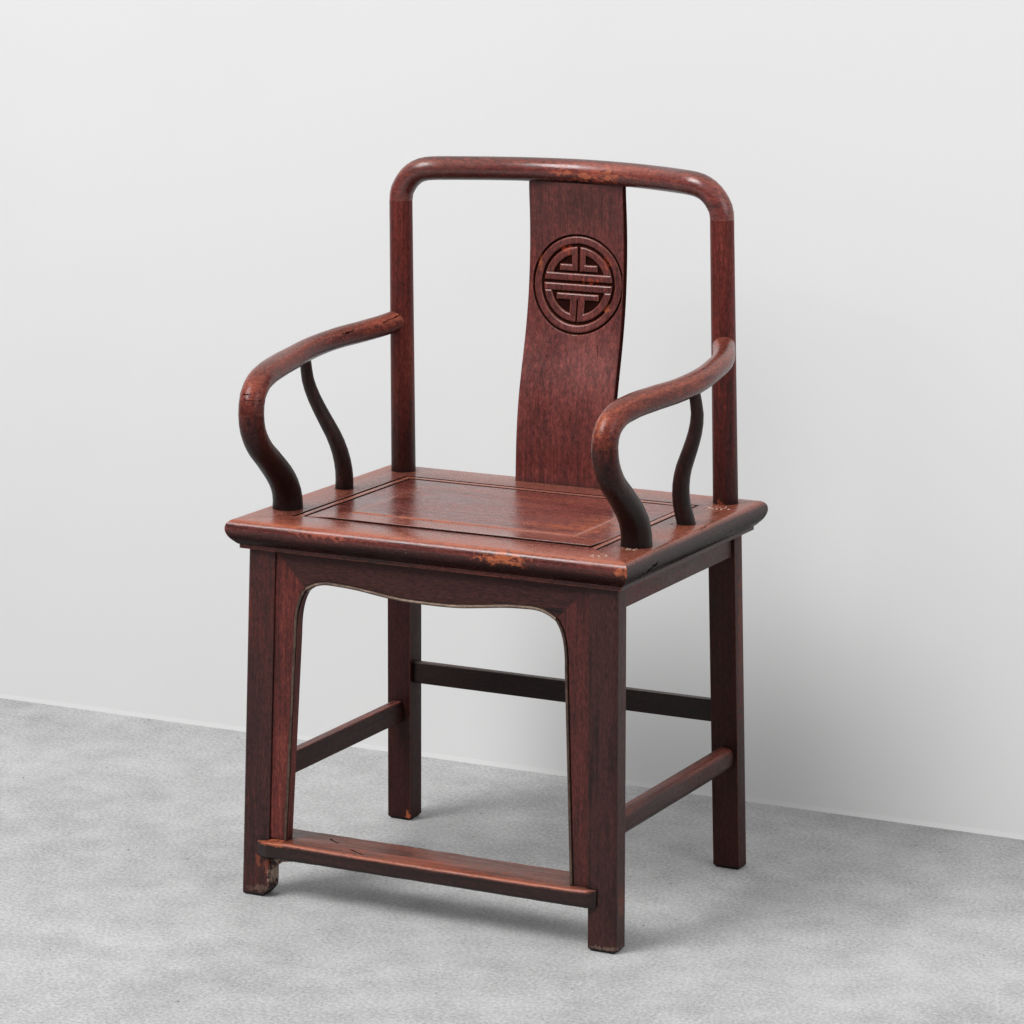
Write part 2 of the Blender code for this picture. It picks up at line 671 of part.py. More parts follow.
def front_post_path(side):
    joint_x, joint_y = arm_path(side)[-1][:2]
    foot_x, foot_y = side * FRONT_POST_FOOT_OUT, -FRONT_POST_FOOT_PLACE
    foot = SEAT_HEIGHT + FIT
    points = [(foot_x + (joint_x - foot_x) * up, foot_y + (joint_y - foot_y) * ahead,
               foot + (ARM_JOINT_HEIGHT - foot) * up) for up, ahead in FRONT_POST_SHARES]
    return smooth_path(points, POST_RINGS, first=(0.0, 0.0, 1.0), last=(0.0, 0.0, 1.0))


def make_front_post(side, grow=0.0):
    shares = np.linspace(0.0, 1.0, POST_RINGS)
    radii = np.interp(shares, (0.0, 0.6, 1.0), (FRONT_POST_FOOT_RADIUS, ARM_RADIUS_FRONT, ARM_RADIUS_FRONT))
    up = Vector((0.0, 0.0, 1.0))
    return rod("front_post", front_post_path(side), radii, ROD_SIDES, up, up, grow)


def arm_height_at(side, place):
    """The arm's middle where it passes a place along Y."""
    path = arm_path(side)
    order = np.argsort(path[:, 1])
    return [float(np.interp(place, path[order, 1], path[order, axis])) for axis in range(3)]


def side_post_path(side):
    head = arm_height_at(side, SIDE_POST_HEAD_PLACE)
    foot = SEAT_HEIGHT + FIT
    points = [(side * (SIDE_POST_FOOT_OUT + SIDE_POST_BOW * out),
               SIDE_POST_FOOT_PLACE + (SIDE_POST_HEAD_PLACE - SIDE_POST_FOOT_PLACE) * up,
               foot + (head[2] - foot) * up) for up, out in SIDE_POST_SHARES]
    return smooth_path(points, POST_RINGS, first=(0.0, 0.0, 1.0))


def build_arms():
    up = Vector((0.0, 0.0, 1.0))
    foot = SEAT_HEIGHT + FIT
    for word, side in SIDES:
        arm, front, middle = "armrest_" + word, "front_post_" + word, "side_post_" + word
        post_x, post_y = post_centre(ARM_HEIGHT, side)
        keep(arm, make_arm(side), RED_WOOD, (post_x, post_y, ARM_HEIGHT))
        cut(arm, make_post(side, FIT))
        path = arm_path(side)
        first = (Vector(path[1]) - Vector(path[0])).normalized()
        start = Vector((post_x, post_y, ARM_HEIGHT))
        reach = start + first * POST_RADIUS * 2
        tenon(arm, ["back_post_" + word], peg, start - first * ARM_PEG, reach, ARM_PEG)

        foot_x, foot_y = side * FRONT_POST_FOOT_OUT, -FRONT_POST_FOOT_PLACE
        keep(front, make_front_post(side), RED_WOOD, (foot_x, foot_y, foot))
        joint_x, joint_y = path[-1][:2]
        tenon(front, [arm], post_block, (joint_x, joint_y), PIPE_TENON,
              ARM_JOINT_HEIGHT - PIPE_TENON, ARM_JOINT_HEIGHT + PIPE_TENON)
        rail = "seat_side_rail_" + word
        low, high = foot - SEAT_PEG_DEPTH, foot + SEAT_PEG_DEPTH / 2
        tenon(front, [rail], peg, (foot_x, foot_y, low), (foot_x, foot_y, high), FRONT_POST_PEG)

        route = side_post_path(side)
        radii = np.linspace(SIDE_POST_FOOT_RADIUS, SIDE_POST_TOP_RADIUS, POST_RINGS)
        last = (Vector(route[-1]) - Vector(route[-2])).normalized()
        foot_x, foot_y = side * SIDE_POST_FOOT_OUT, SIDE_POST_FOOT_PLACE
        keep(middle, rod("side_post", route, radii, THIN_SIDES, up, last), RED_WOOD, (foot_x, foot_y, foot))
        cut(middle, make_arm(side, FIT))
        tenon(middle, [rail], peg, (foot_x, foot_y, low), (foot_x, foot_y, high), SIDE_POST_PEG)
        head = Vector(route[-1])
        tenon(middle, [arm], peg, head - last * ARM_RADIUS_MIDDLE * 2, head, SIDE_POST_HEAD_PEG)


# Boards under the frame


def front_face(height):
    """The front face of the apron and spandrels, a little behind the legs and splayed as they are."""
    return BOARD_SETBACK - leg_outer(height, -1)[1]


def board(name, outline, face, thick):
    """A board from an outline across and up, with its front on a face that may lean."""
    sections = [[(x, face(z) + depth, z) for x, z in outline] for depth in (0.0, thick)]
    return mesh_object(name, sections)


def turned_board(name, outline, face, thick):
    """A board from an outline along Y and up, with its outer side on a face that may lean."""
    sections = [[(face(z) + depth, y, z) for y, z in outline] for depth in (0.0, thick)]
    return mesh_object(name, sections)


def curve_points(start, bend, end, steps):
    """Points after the start on a curve that leaves it towards the bend and ends there."""
    points = []
    for i in range(1, steps + 1):
        t = i / steps
        shares = ((1 - t) ** 2, 2 * t * (1 - t), t**2)
        blend = [sum(share * at for share, at in zip(shares, three)) for three in zip(start, bend, end)]
        points.append(tuple(blend))
    return points


def arch_half():
    """The apron's lower edge from the middle to the right mitre, drawn as a smooth curve."""
    base = UNDERSIDE - ARCH_DROP
    points = [(share * ARCH_HALF_WIDTH, 0.0, base + up * ARCH_RISE) for share, up in ARCH_SHARES]
    return [(x, z) for x, _, z in smooth_path(points, 18, first=(1.0, 0.0, 0.0))]


def apron_outline():
    half = arch_half()
    lower = [(-x, z) for x, z in half[:0:-1]] + half
    corner = leg_inner(LEG_TOP, -1)[0] - FIT
    gap = FIT * math.sqrt(2)
    trimmed = [(x, z) for x, z in lower if abs(x) < ARCH_HALF_WIDTH - gap]
    end_x, end_z = half[-1]
    left = [(gap - corner, LEG_TOP), (gap - end_x, end_z)]
    right = [(end_x - gap, end_z), (corner - gap, LEG_TOP)]
    return [*left, *trimmed, *right]


def spandrel_outline(side):
    """Mitre, leg side, foot on the footrest, and the curved inner edge."""
    end_x, end_z = arch_half()[-1]
    corner = leg_inner(LEG_TOP, -1)[0] - FIT
    foot = FOOTREST_TOP + FIT
    shoulder = LEG_TOP - SPANDREL_SHOULDER
    shoulder_x = leg_inner(shoulder, -1)[0] - SPANDREL_WIDTH
    bend = (shoulder_x, (end_z + shoulder) / 2 + (end_z - shoulder) / 4)
    outline = [(corner, LEG_TOP), (end_x, end_z)]
    outline += curve_points((end_x, end_z), bend, (shoulder_x, shoulder), CORNER_STEPS * 2)
    outline.append((leg_inner(foot, -1)[0] - SPANDREL_FOOT_WIDTH, foot))
    outline.append((leg_inner(foot, -1)[0] - FIT, foot))
    return [(side * x, z) for x, z in outline]


def spandrel_tongue(side, grow):
    """A tongue along the spandrel's outer edge that runs in a groove in the leg."""
    low, high = FOOTREST_TOP + EDGE_TONGUE * 2, LEG_TOP - EDGE_TONGUE * 2
    reach = EDGE_TONGUE + grow
    outline = [(side * (leg_inner(z, -1)[0] + dx), z + dz) for z, dx, dz in (
        (high, reach, grow), (high, -EDGE_TONGUE, grow), (low, -EDGE_TONGUE, -grow), (low, reach, -grow))]
    inset = (BOARD_THICK - EDGE_TONGUE_THICK) / 2
    return board("tongue", outline, lambda z: front_face(z) + inset - grow, EDGE_TONGUE_THICK + 2 * grow)


def apron_tongue(grow):
    half = ARCH_HALF_WIDTH * APRON_TONGUE_SHARE + grow
    low, high = LEG_TOP - EDGE_TONGUE, LEG_TOP + EDGE_TONGUE + grow
    inset = (BOARD_THICK - EDGE_TONGUE_THICK) / 2
    outline = [(-half, low), (half, low), (half, high), (-half, high)]
    return board("tongue", outline, lambda z: front_face(z) + inset - grow, EDGE_TONGUE_THICK + 2 * grow)


def build_front():
    keep("front_apron", board("front_apron", apron_outline(), front_face, BOARD_THICK), DARK_WOOD,
         (0.0, front_face(LEG_TOP), LEG_TOP))
    tenon("front_apron", ["seat_front_rail"], apron_tongue)
    for word, side in SIDES:
        name = "front_spandrel_" + word
        keep(name, board(name, spandrel_outline(side), front_face, BOARD_THICK), DARK_WOOD,
             (side * leg_inner(FOOTREST_TOP, -1)[0], front_face(FOOTREST_TOP), FOOTREST_TOP))
        tenon(name, ["front_leg_" + word], spandrel_tongue, side)


def build_side_aprons():
    """Plain aprons between the legs at the sides and at the back, with a tenon into each leg."""
    low, high = LEG_TOP - SIDE_APRON_DEPTH, LEG_TOP
    inset = (BOARD_THICK - APRON_TENON_THICK) / 2
    bottom, top = low + SIDE_APRON_DEPTH / 4, high - SIDE_APRON_DEPTH / 4
    for word, side in SIDES:
        name = "side_apron_" + word
        outline = [(-leg_inner(z, -1)[1] + FIT, z) for z in (high, low)]
        outline += [(leg_inner(z, 1)[1] - FIT, z) for z in (low, high)]

        def outer(z, side=side):
            return side * (leg_outer(z, 1)[0] - SIDE_APRON_SETBACK)

        made = turned_board(name, outline, outer, -side * BOARD_THICK)
        keep(name, made, DARK_WOOD, (outer(high), 0.0, high))
        face = outer(high)
        edges = sorted((face - side * inset, face - side * (inset + APRON_TENON_THICK)))
        for end, host in ((-1, "front_leg_" + word), (1, "back_post_" + word)):
            shoulder = end * leg_inner(high, end)[1]
            ends = sorted((shoulder - end * TENON_DEPTH, shoulder + end * TENON_DEPTH))
            tenon(name, [host], block, (edges[0], ends[0], bottom), (edges[1], ends[1], top))

    def behind(z):
        return leg_outer(z, 1)[1] - SIDE_APRON_SETBACK

    outline = [(-leg_inner(z, 1)[0] + FIT, z) for z in (high, low)]
    outline += [(leg_inner(z, 1)[0] - FIT, z) for z in (low, high)]
    made = board("back_apron", outline, behind, -BOARD_THICK)
    keep("back_apron", made, DARK_WOOD, (0.0, behind(high), high))
    face = behind(high)
    for word, side in SIDES:
        shoulder = side * leg_inner(high, 1)[0]
        ends = sorted((shoulder - side * TENON_DEPTH, shoulder + side * TENON_DEPTH))
        tenon("back_apron", ["back_post_" + word], block, (ends[0], face - inset - APRON_TENON_THICK, bottom),
              (ends[1], face - inset, top))


# Stretchers


def stretcher_outline():
    """Section of a stretcher: outwards and up from its middle, rounded on its outer side."""
    radii = (STRETCHER_ROUND, STRETCHER_EASE, STRETCHER_EASE, STRETCHER_ROUND)
    return rounded_outline(STRETCHER_THICK / 2, STRETCHER_HEIGHT / 2, radii)


def build_stretchers():
    half_tall, half_thick = STRETCHER_TENON_HEIGHT / 2, STRETCHER_TENON_THICK / 2
    for word, side in SIDES:
        name = "side_stretcher_" + word
        top = LEFT_STRETCHER_TOP if side < 0 else RIGHT_STRETCHER_TOP
        middle = top - STRETCHER_HEIGHT / 2
        x = side * (leg_outer(middle, 1)[0] - STRETCHER_SETBACK - STRETCHER_THICK / 2)
        sections = []
        for end in (-1, 1):
            sections.append([(x + side * dx, end * (leg_inner(middle + dz, end)[1] - FIT), middle + dz)
                             for dx, dz in stretcher_outline()])
        keep(name, mesh_object(name, sections), DARK_WOOD, (x, 0.0, middle))
        for end, host in ((-1, "front_leg_" + word), (1, "back_post_" + word)):
            shoulder = end * leg_inner(middle, end)[1]
            ends = sorted((shoulder - end * TENON_DEPTH, shoulder + end * TENON_DEPTH))
            tenon(name, [host], block, (x - half_thick, ends[0], middle - half_tall),
                  (x + half_thick, ends[1], middle + half_tall))
    middle = REAR_STRETCHER_TOP - STRETCHER_HEIGHT / 2
    y = leg_outer(middle, 1)[1] - STRETCHER_SETBACK - STRETCHER_THICK / 2
    sections = []
    for side in (-1, 1):
        sections.append([(side * (leg_inner(middle + dz, 1)[0] - FIT), y + dy, middle + dz)
                         for dy, dz in stretcher_outline()])
    keep("rear_stretcher", mesh_object("rear_stretcher", sections), DARK_WOOD, (0.0, y, middle))
    for word, side in SIDES:
        shoulder = side * leg_inner(middle, 1)[0]
        ends = sorted((shoulder - side * TENON_DEPTH, shoulder + side * TENON_DEPTH))
        tenon("rear_stretcher", ["back_post_" + word], block, (ends[0], y - half_thick, middle - half_tall),
              (ends[1], y + half_thick, middle + half_tall))


def footrest_plan(inset):
    """Plan of the footrest: its lip laps over the front of each leg and tapers off."""
    face = leg_outer(FOOTREST_TOP, -1)[1]
    inner = leg_inner(FOOTREST_TOP, -1)[0]
    front = -face - FOOTREST_PROUD + inset
    lap = inner + FOOTREST_LAP - inset
    side = [(inner, front), (lap, -face - FOOTREST_PROUD / 3), (lap, -face + LEG_EASE),
            (inner + LEG_EASE, -face + LEG_EASE), (inner + LEG_EASE, front + FOOTREST_DEPTH - 2 * inset)]
    return side + [(-x, y) for x, y in reversed(side)]


def build_footrest():
    bottom = FOOTREST_TOP - FOOTREST_THICK
    levels = ((bottom, FOOTREST_EASE), (bottom + FOOTREST_EASE, 0.0), (FOOTREST_TOP - FOOTREST_EASE, 0.0),
              (FOOTREST_TOP, FOOTREST_EASE))
    sections = [[(x, y, height) for x, y in footrest_plan(inset)] for height, inset in levels]
    middle = (bottom + FOOTREST_TOP) / 2
    origin = (0.0, -leg_outer(middle, -1)[1], FOOTREST_TOP)
    keep("footrest", mesh_object("footrest", sections), WORN_WOOD, origin)
    half_tall = FOOTREST_THICK / 4
    for word, side in SIDES:
        cut("footrest", make_leg(side, -1, FIT))
        centre = leg_centre(middle, side, -1)
        inner = side * leg_inner(middle, -1)[0]
        ends = sorted((inner - side * TENON_DEPTH, inner + side * TENON_DEPTH))
        half_thick = LEG_DEPTHS[-1] / 5
        low, high = (ends[0], centre[1] - half_thick), (ends[1], centre[1] + half_thick)
        low, high = (*low, middle - half_tall), (*high, middle + half_tall)
        tenon("footrest", ["front_leg_" + word], block, low, high)
    build_bracket(bottom)


def build_bracket(top):
    """What is left of a board that once ran below the footrest, beside the left leg."""
    high = top - FIT
    edge = -leg_inner(high, -1)[0] + FIT
    lower = -leg_inner(high - BRACKET_DEPTH, -1)[0] + FIT
    tip = (edge + BRACKET_LENGTH, high)
    outline = [(edge, high), (lower, high - BRACKET_DEPTH)]
    start = (lower + BRACKET_LENGTH / 5, high - BRACKET_DEPTH)
    outline.append(start)
    outline += curve_points(start, (start[0] + BRACKET_LENGTH / 10, high - BRACKET_DEPTH / 3),
                            (tip[0], high - BRACKET_DEPTH / 5), CORNER_STEPS)
    outline.append(tip)
    keep("footrest_bracket", board("footrest_bracket", outline, front_face, BOARD_THICK), DARK_WOOD,
         (edge, front_face(high), high))
    inset = (BOARD_THICK - EDGE_TONGUE_THICK) / 2

    def tongue(grow):
        near, far = edge + EDGE_TONGUE - grow, edge + BRACKET_LENGTH / 2 + grow
        root, ridge = high - EDGE_TONGUE / 2, high + EDGE_TONGUE + grow
        shape = [(near, root), (far, root), (far, ridge), (near, ridge)]
        return board("tongue", shape, lambda z: front_face(z) + inset - grow, EDGE_TONGUE_THICK + 2 * grow)

    tenon("footrest_bracket", ["footrest"], tongue)


def stand_chair():
    """Parents every piece to one empty and centres the chair over the origin."""
    chair = bpy.data.objects.new("chair", None)
    bpy.context.scene.collection.objects.link(chair)
    back = CREST_PLACE + CREST_BOW + CREST_RADIUS
    front = ARM_FRONT + ARM_RADIUS_FRONT
    chair.location = (0.0, (front - back) / 2, 0.0)
    for name, piece in pieces.items():
        origin = Vector(piece["origin"])
        del piece["origin"]
        piece.data.transform(Matrix.Translation(-origin))
        piece.parent = chair
        piece.location = origin
        piece.data.shade_smooth()
        piece.data.set_sharp_from_angle(angle=math.radians(32))


def main():
    for old in list(bpy.data.objects):
        bpy.data.objects.remove(old)
    build_legs()
    build_frame()
    build_panel()
    build_battens()
    join_frame()
    build_back()
    build_arms()
    build_front()
    build_side_aprons()
    build_stretchers()
    build_footrest()
    stand_chair()


main()
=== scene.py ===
"""Looks of a Ming style armchair: worn red-brown lacquer over hardwood, a carved roundel and beaded edges.

Metres, +Z up. The chair faces -Y, and left and right are as seen from the front, so left is -X.
"""

import math
from collections import namedtuple

import bmesh
import bpy
import numpy as np
from mathutils import Matrix, Vector, noise
from mathutils.bvhtree import BVHTree


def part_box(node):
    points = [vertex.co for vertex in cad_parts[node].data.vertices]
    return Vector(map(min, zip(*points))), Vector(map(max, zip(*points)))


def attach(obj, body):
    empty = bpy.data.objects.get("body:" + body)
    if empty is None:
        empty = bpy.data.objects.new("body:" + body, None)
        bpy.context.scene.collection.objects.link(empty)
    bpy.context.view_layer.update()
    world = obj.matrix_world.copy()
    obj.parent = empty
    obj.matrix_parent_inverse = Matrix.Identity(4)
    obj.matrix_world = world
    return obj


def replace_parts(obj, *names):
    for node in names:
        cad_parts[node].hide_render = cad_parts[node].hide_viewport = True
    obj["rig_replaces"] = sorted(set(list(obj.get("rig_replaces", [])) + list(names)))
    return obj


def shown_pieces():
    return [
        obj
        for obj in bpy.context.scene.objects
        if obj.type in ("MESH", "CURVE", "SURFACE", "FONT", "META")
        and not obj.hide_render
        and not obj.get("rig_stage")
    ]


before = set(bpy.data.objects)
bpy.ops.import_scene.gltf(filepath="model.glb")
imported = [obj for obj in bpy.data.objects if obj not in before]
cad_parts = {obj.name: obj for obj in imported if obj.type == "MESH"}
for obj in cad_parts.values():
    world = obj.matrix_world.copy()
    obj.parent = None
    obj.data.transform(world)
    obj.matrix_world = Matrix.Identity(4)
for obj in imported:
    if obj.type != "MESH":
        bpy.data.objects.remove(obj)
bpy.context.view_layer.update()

# Camera: where it stands, which way it looks, and its lens for a 1024 x 1024 picture
IMAGE_SIZE = 1024
FOCAL_PIXELS = 3467.4
SENSOR = 36.0
CAMERA_PLACE = (2.0824, -4.10505, 1.4603)
CAMERA_AZIMUTH = math.radians(26.743)
CAMERA_PITCH = math.radians(11.584)
CAMERA_ROLL = math.radians(0.206)

# Room: a grey floor that meets an off-white wall along a slanting line,
# with light, shade and a soft shadow of the chair painted into the wall's tone
FLOOR_DARK, FLOOR_PALE, FLOOR_PIT = (0.31, 0.31, 0.307), (0.58, 0.58, 0.575), (0.11, 0.11, 0.11)
WALL_COLOUR = (0.76, 0.76, 0.76)
WALL_LOW, WALL_HIGH, WALL_FOOT = (0.66, 0.66, 0.655), (0.84, 0.84, 0.84), (0.90, 0.89, 0.88)
WALL_SHADE, WALL_GLOW_SHARE = 0.10, 0.72
WALL_SHADOW = 0.56
WALL_SHADOW_PIXELS = (460, 640, 740, 1040)
WALL_SHADOW_TOP, WALL_SHADOW_BASE = 0.45, -0.02
WALL_FOOT_HEIGHT = 0.009
STAGE_REACH = 14.0
WALL_HEIGHT = 6.0
WALL_LEFT_PIXEL = (0, 698)
WALL_RIGHT_PIXEL = (1024, 840)

# Light: a large lamp ahead on the left, a weak one on the right, and a sky that is brighter overhead
SKY_LOW, SKY_HIGH = (0.17, 0.17, 0.175), (0.75, 0.755, 0.77)
SKY_STRENGTH = 1.0
Lamp = namedtuple("Lamp", "name place aim size power")
LAMPS = (
    Lamp("lamp_left", (-1.9, -3.2, 4.5), (0.0, 0.2, 0.5), (2.4, 2.4), 235.0),
    Lamp("lamp_right", (4.0, -1.2, 2.6), (0.0, 0.2, 0.5), (2.4, 2.4), 35.0),
)

# Edges and surfaces
WELD = 1e-5
SLIVERS = {"back_post": 0.0010, "armrest": 0.0005, "crest_rail": 0.0010, "front_leg": 0.0003}
EDGE_ANGLE = math.radians(28)
EDGE_ROUND = 0.0012
SMOOTH_ANGLE = math.radians(50)

# Splat: a fine grid over the roundel, a coarse one elsewhere
CARVE_STEP = 0.0007
BOARD_STEP = 0.006
ARRIS = 0.002
ROUNDEL_RADIUS = 0.070
ROUNDEL_MIDDLE = 0.0032
ROUNDEL_HEIGHT = 0.8005
CARVE_DEPTH = 0.0031
CARVE_WALL = 0.0015
CARVE_PILLOW = 0.0007
# Painted shade in the carving's grooves and on the board's rounded sides, and rubbed colour with a painted highlight
# on the raised forms' shoulders
GROOVE_SHADE, SIDE_SHADE, ARRIS_RUB_AND_HIGHLIGHT = 0.9, 0.8, 0.55

# Seat frame: its section, outwards from the edge and down from the top
MOULD_PROUD = 0.006
CORNER_REACH = 0.012
MOULDING = ((-0.0040, 0.0), (-0.0020, 0.0003), (0.0, 0.0011), (0.0030, 0.0034), (0.0046, 0.0056), (0.0055, 0.0082),
            (0.0060, 0.0110), (0.0060, 0.0140), (0.0054, 0.0169), (0.0045, 0.0197), (0.0031, 0.0225), (0.0015, 0.0252),
            (-0.0006, 0.0277), (-0.0027, 0.0299), (-0.0048, 0.0321), (-0.0066, 0.0337), (-0.0073, 0.0342),
            (-0.0085, 0.0344), (-0.0085, 0.0398))
STRIP_WIDTH = 0.0105
STRIP_GROOVE, STRIP_DEPTH = 0.0042, 0.0034
RUB_MIDDLE, RUB_REACH = 0.0012, 0.0036
# Painted shade on the moulding as it turns under: the depth where it is full, where the lip begins, and how dark the
# lip stays
MOULD_DARK_BASE, MOULD_LIP, LIP_DARK = 0.025, 0.034, 0.35
RAIL_STEPS = 160
RAIL_RUBS = {"front": 1.0, "left": 0.7, "right": 0.7, "back": 1.0}
# For each side, how dark the painted shade under the moulding grows and from what depth it starts
RAIL_PAINTED_SHADES = {"front": (0.62, 0.008), "left": (0.7, 0.005), "right": (0.72, -0.006), "back": (0.7, 0.003)}
MITRE_GAP = 0.0002

# Seat panel
PANEL_MARGIN = 0.048
PANEL_SLOPE = 0.0012
PANEL_STEP = 0.0012
PANEL_GAP = 0.0026
PANEL_RUB, PANEL_RUB_REACH, PANEL_MARGIN_RUB = 1.0, 0.011, 0.4
PANEL_FRONT_GAP = 0.0038
PANEL_LIFT = 0.0023
PANEL_CELL = 0.010

# Beads along the arch
BEAD_SECTION = ((0.0002, -0.003), (0.0, 0.0006), (0.0007, 0.0018), (0.0020, 0.0025), (0.0034, 0.0024),
                (0.0047, 0.0015), (0.0054, 0.0000), (0.0058, -0.003))
BEAD_STEP = 0.004
# Painted shade at the bead's foot: how dark, and below what rise from the board
BEAD_SHADE, BEAD_SHADE_RISE = 0.9, 0.0017

# Feet: how much of each lower edge is worn away
FOOT_WEAR = 0.003
FOOT_CHIP = 0.011

# Footrest: trodden down along its front, splintered at its left end
TREAD_CELL = 0.0018
TREAD_DROP, TREAD_REACH = 0.0032, 0.024
# Its front top arris: how far the rubbed lacquer with a painted highlight reaches and how strong it is, and how far
# the right end is blunted
TREAD_ARRIS, TREAD_RUB_AND_HIGHLIGHT, TREAD_BLUNT = 0.0048, 0.8, 0.004
SPLINTER_DROP, SPLINTER_REACH, SPLINTER_LENGTH = 0.0065, 0.017, 0.046

# Lacquer colours, as light that they give back
INK = (0.005, 0.003, 0.003)
SOOT = (0.009, 0.0036, 0.0030)
DARK = (0.018, 0.0065, 0.0055)
BROWN = (0.050, 0.015, 0.013)
RED = (0.115, 0.020, 0.016)
BRIGHT = (0.215, 0.044, 0.030)
AMBER = (0.29, 0.068, 0.034)
ROSE = (0.30, 0.084, 0.060)
PINK = (0.34, 0.120, 0.088)
ORANGE = (0.48, 0.120, 0.045)
COPPER = (0.38, 0.092, 0.055)
EMBER = (0.36, 0.062, 0.028)
PALE = (0.62, 0.44, 0.34)
TAN = (0.16, 0.105, 0.080)
GREY = (0.058, 0.034, 0.029)

# Each finish: its figure from dark to light, what shows where tops and edges are rubbed and how much of that (on tops
# also a painted light from above), its roughness and shine, how dark it turns lower down as painted shade, between
# which heights, and how dark its very top stays
Finish = namedtuple("Finish", "dark mid light rubbed top edge rough shine deep turn crown",
                    defaults=(0.5, 0.0, (0.5, 0.53), 0.0))
FINISHES = {
    "crest_rail": Finish(BROWN, (0.165, 0.026, 0.020), AMBER, COPPER, 0.8, 0.5, 0.24, 0.7, crown=0.8),
    "back_post": Finish(BROWN, (0.140, 0.022, 0.017), BRIGHT, AMBER, 0.2, 0.25, 0.40, 0.20, 0.80, (0.50, 0.72)),
    "splat": Finish(BROWN, (0.140, 0.027, 0.023), (0.24, 0.052, 0.038), ORANGE, 0.3, 0.25, 0.30, 0.5),
    "armrest": Finish(BROWN, (0.150, 0.026, 0.018), AMBER, COPPER, 1.0, 0.4, 0.24, 0.28, 0.5, (0.658, 0.694), 0.6),
    "front_post": Finish(DARK, (0.130, 0.023, 0.017), AMBER, AMBER, 0.5, 0.2, 0.32, 0.2, 0.96, (0.578, 0.705)),
    "side_post": Finish(INK, DARK, BROWN, AMBER, 0.2, 0.1, 0.36, 0.28),
    "seat_panel": Finish(BROWN, RED, BRIGHT, ROSE, 0.45, 0.5, 0.20),
    "seat_batten": Finish(DARK, BROWN, RED, ORANGE, 0.0, 0.1, 0.5, 0.2),
    "seat_front_rail": Finish(DARK, RED, BRIGHT, ROSE, 0.9, 0.5, 0.23),
    "seat_side_rail": Finish(DARK, BROWN, GREY, ROSE, 0.75, 0.4, 0.25, 0.4),
    "seat_back_rail": Finish(DARK, BROWN, RED, ROSE, 0.75, 0.4, 0.25),
    "front_leg_left": Finish(DARK, BROWN, RED, ORANGE, 0.2, 0.15, 0.40, 0.3),
    "front_leg_right": Finish(DARK, BROWN, BROWN, ORANGE, 0.2, 0.15, 0.40, 0.3),
    "front_apron": Finish(INK, BROWN, BROWN, ORANGE, 0.1, 0.1, 0.44, 0.25),
    "front_spandrel_left": Finish(DARK, RED, BRIGHT, ORANGE, 0.1, 0.1, 0.42, 0.3),
    "front_spandrel_right": Finish(DARK, (0.080, 0.018, 0.015), RED, ORANGE, 0.1, 0.1, 0.42, 0.3),
    "side_apron": Finish(DARK, BROWN, RED, ORANGE, 0.1, 0.2, 0.45, 0.35),
    "back_apron": Finish(INK, DARK, BROWN, ORANGE, 0.1, 0.2, 0.5, 0.3),
    "side_stretcher": Finish(DARK, BROWN, BROWN, ROSE, 0.7, 0.4, 0.42, 0.28),
    "rear_stretcher": Finish(INK, DARK, DARK, TAN, 0.6, 0.2, 0.40, 0.3),
    "footrest_bracket": Finish(DARK, DARK, BROWN, ORANGE, 0.1, 0.9, 0.5, 0.3),
    "footrest": Finish(SOOT, DARK, BROWN, (0.25, 0.075, 0.045), 0.9, 0.7, 0.34, 0.38),
}
# The arch bead's pale tones are a painted highlight along it
ARCH_BEAD_HIGHLIGHT_FINISH = Finish(GREY, (0.24, 0.160, 0.120), (0.44, 0.32, 0.24), PALE, 0.4, 0.2, 0.45, 0.3)
LEG_BEAD_FINISH = Finish(DARK, (0.085, 0.050, 0.036), TAN, TAN, 0.1, 0.1, 0.45, 0.3)
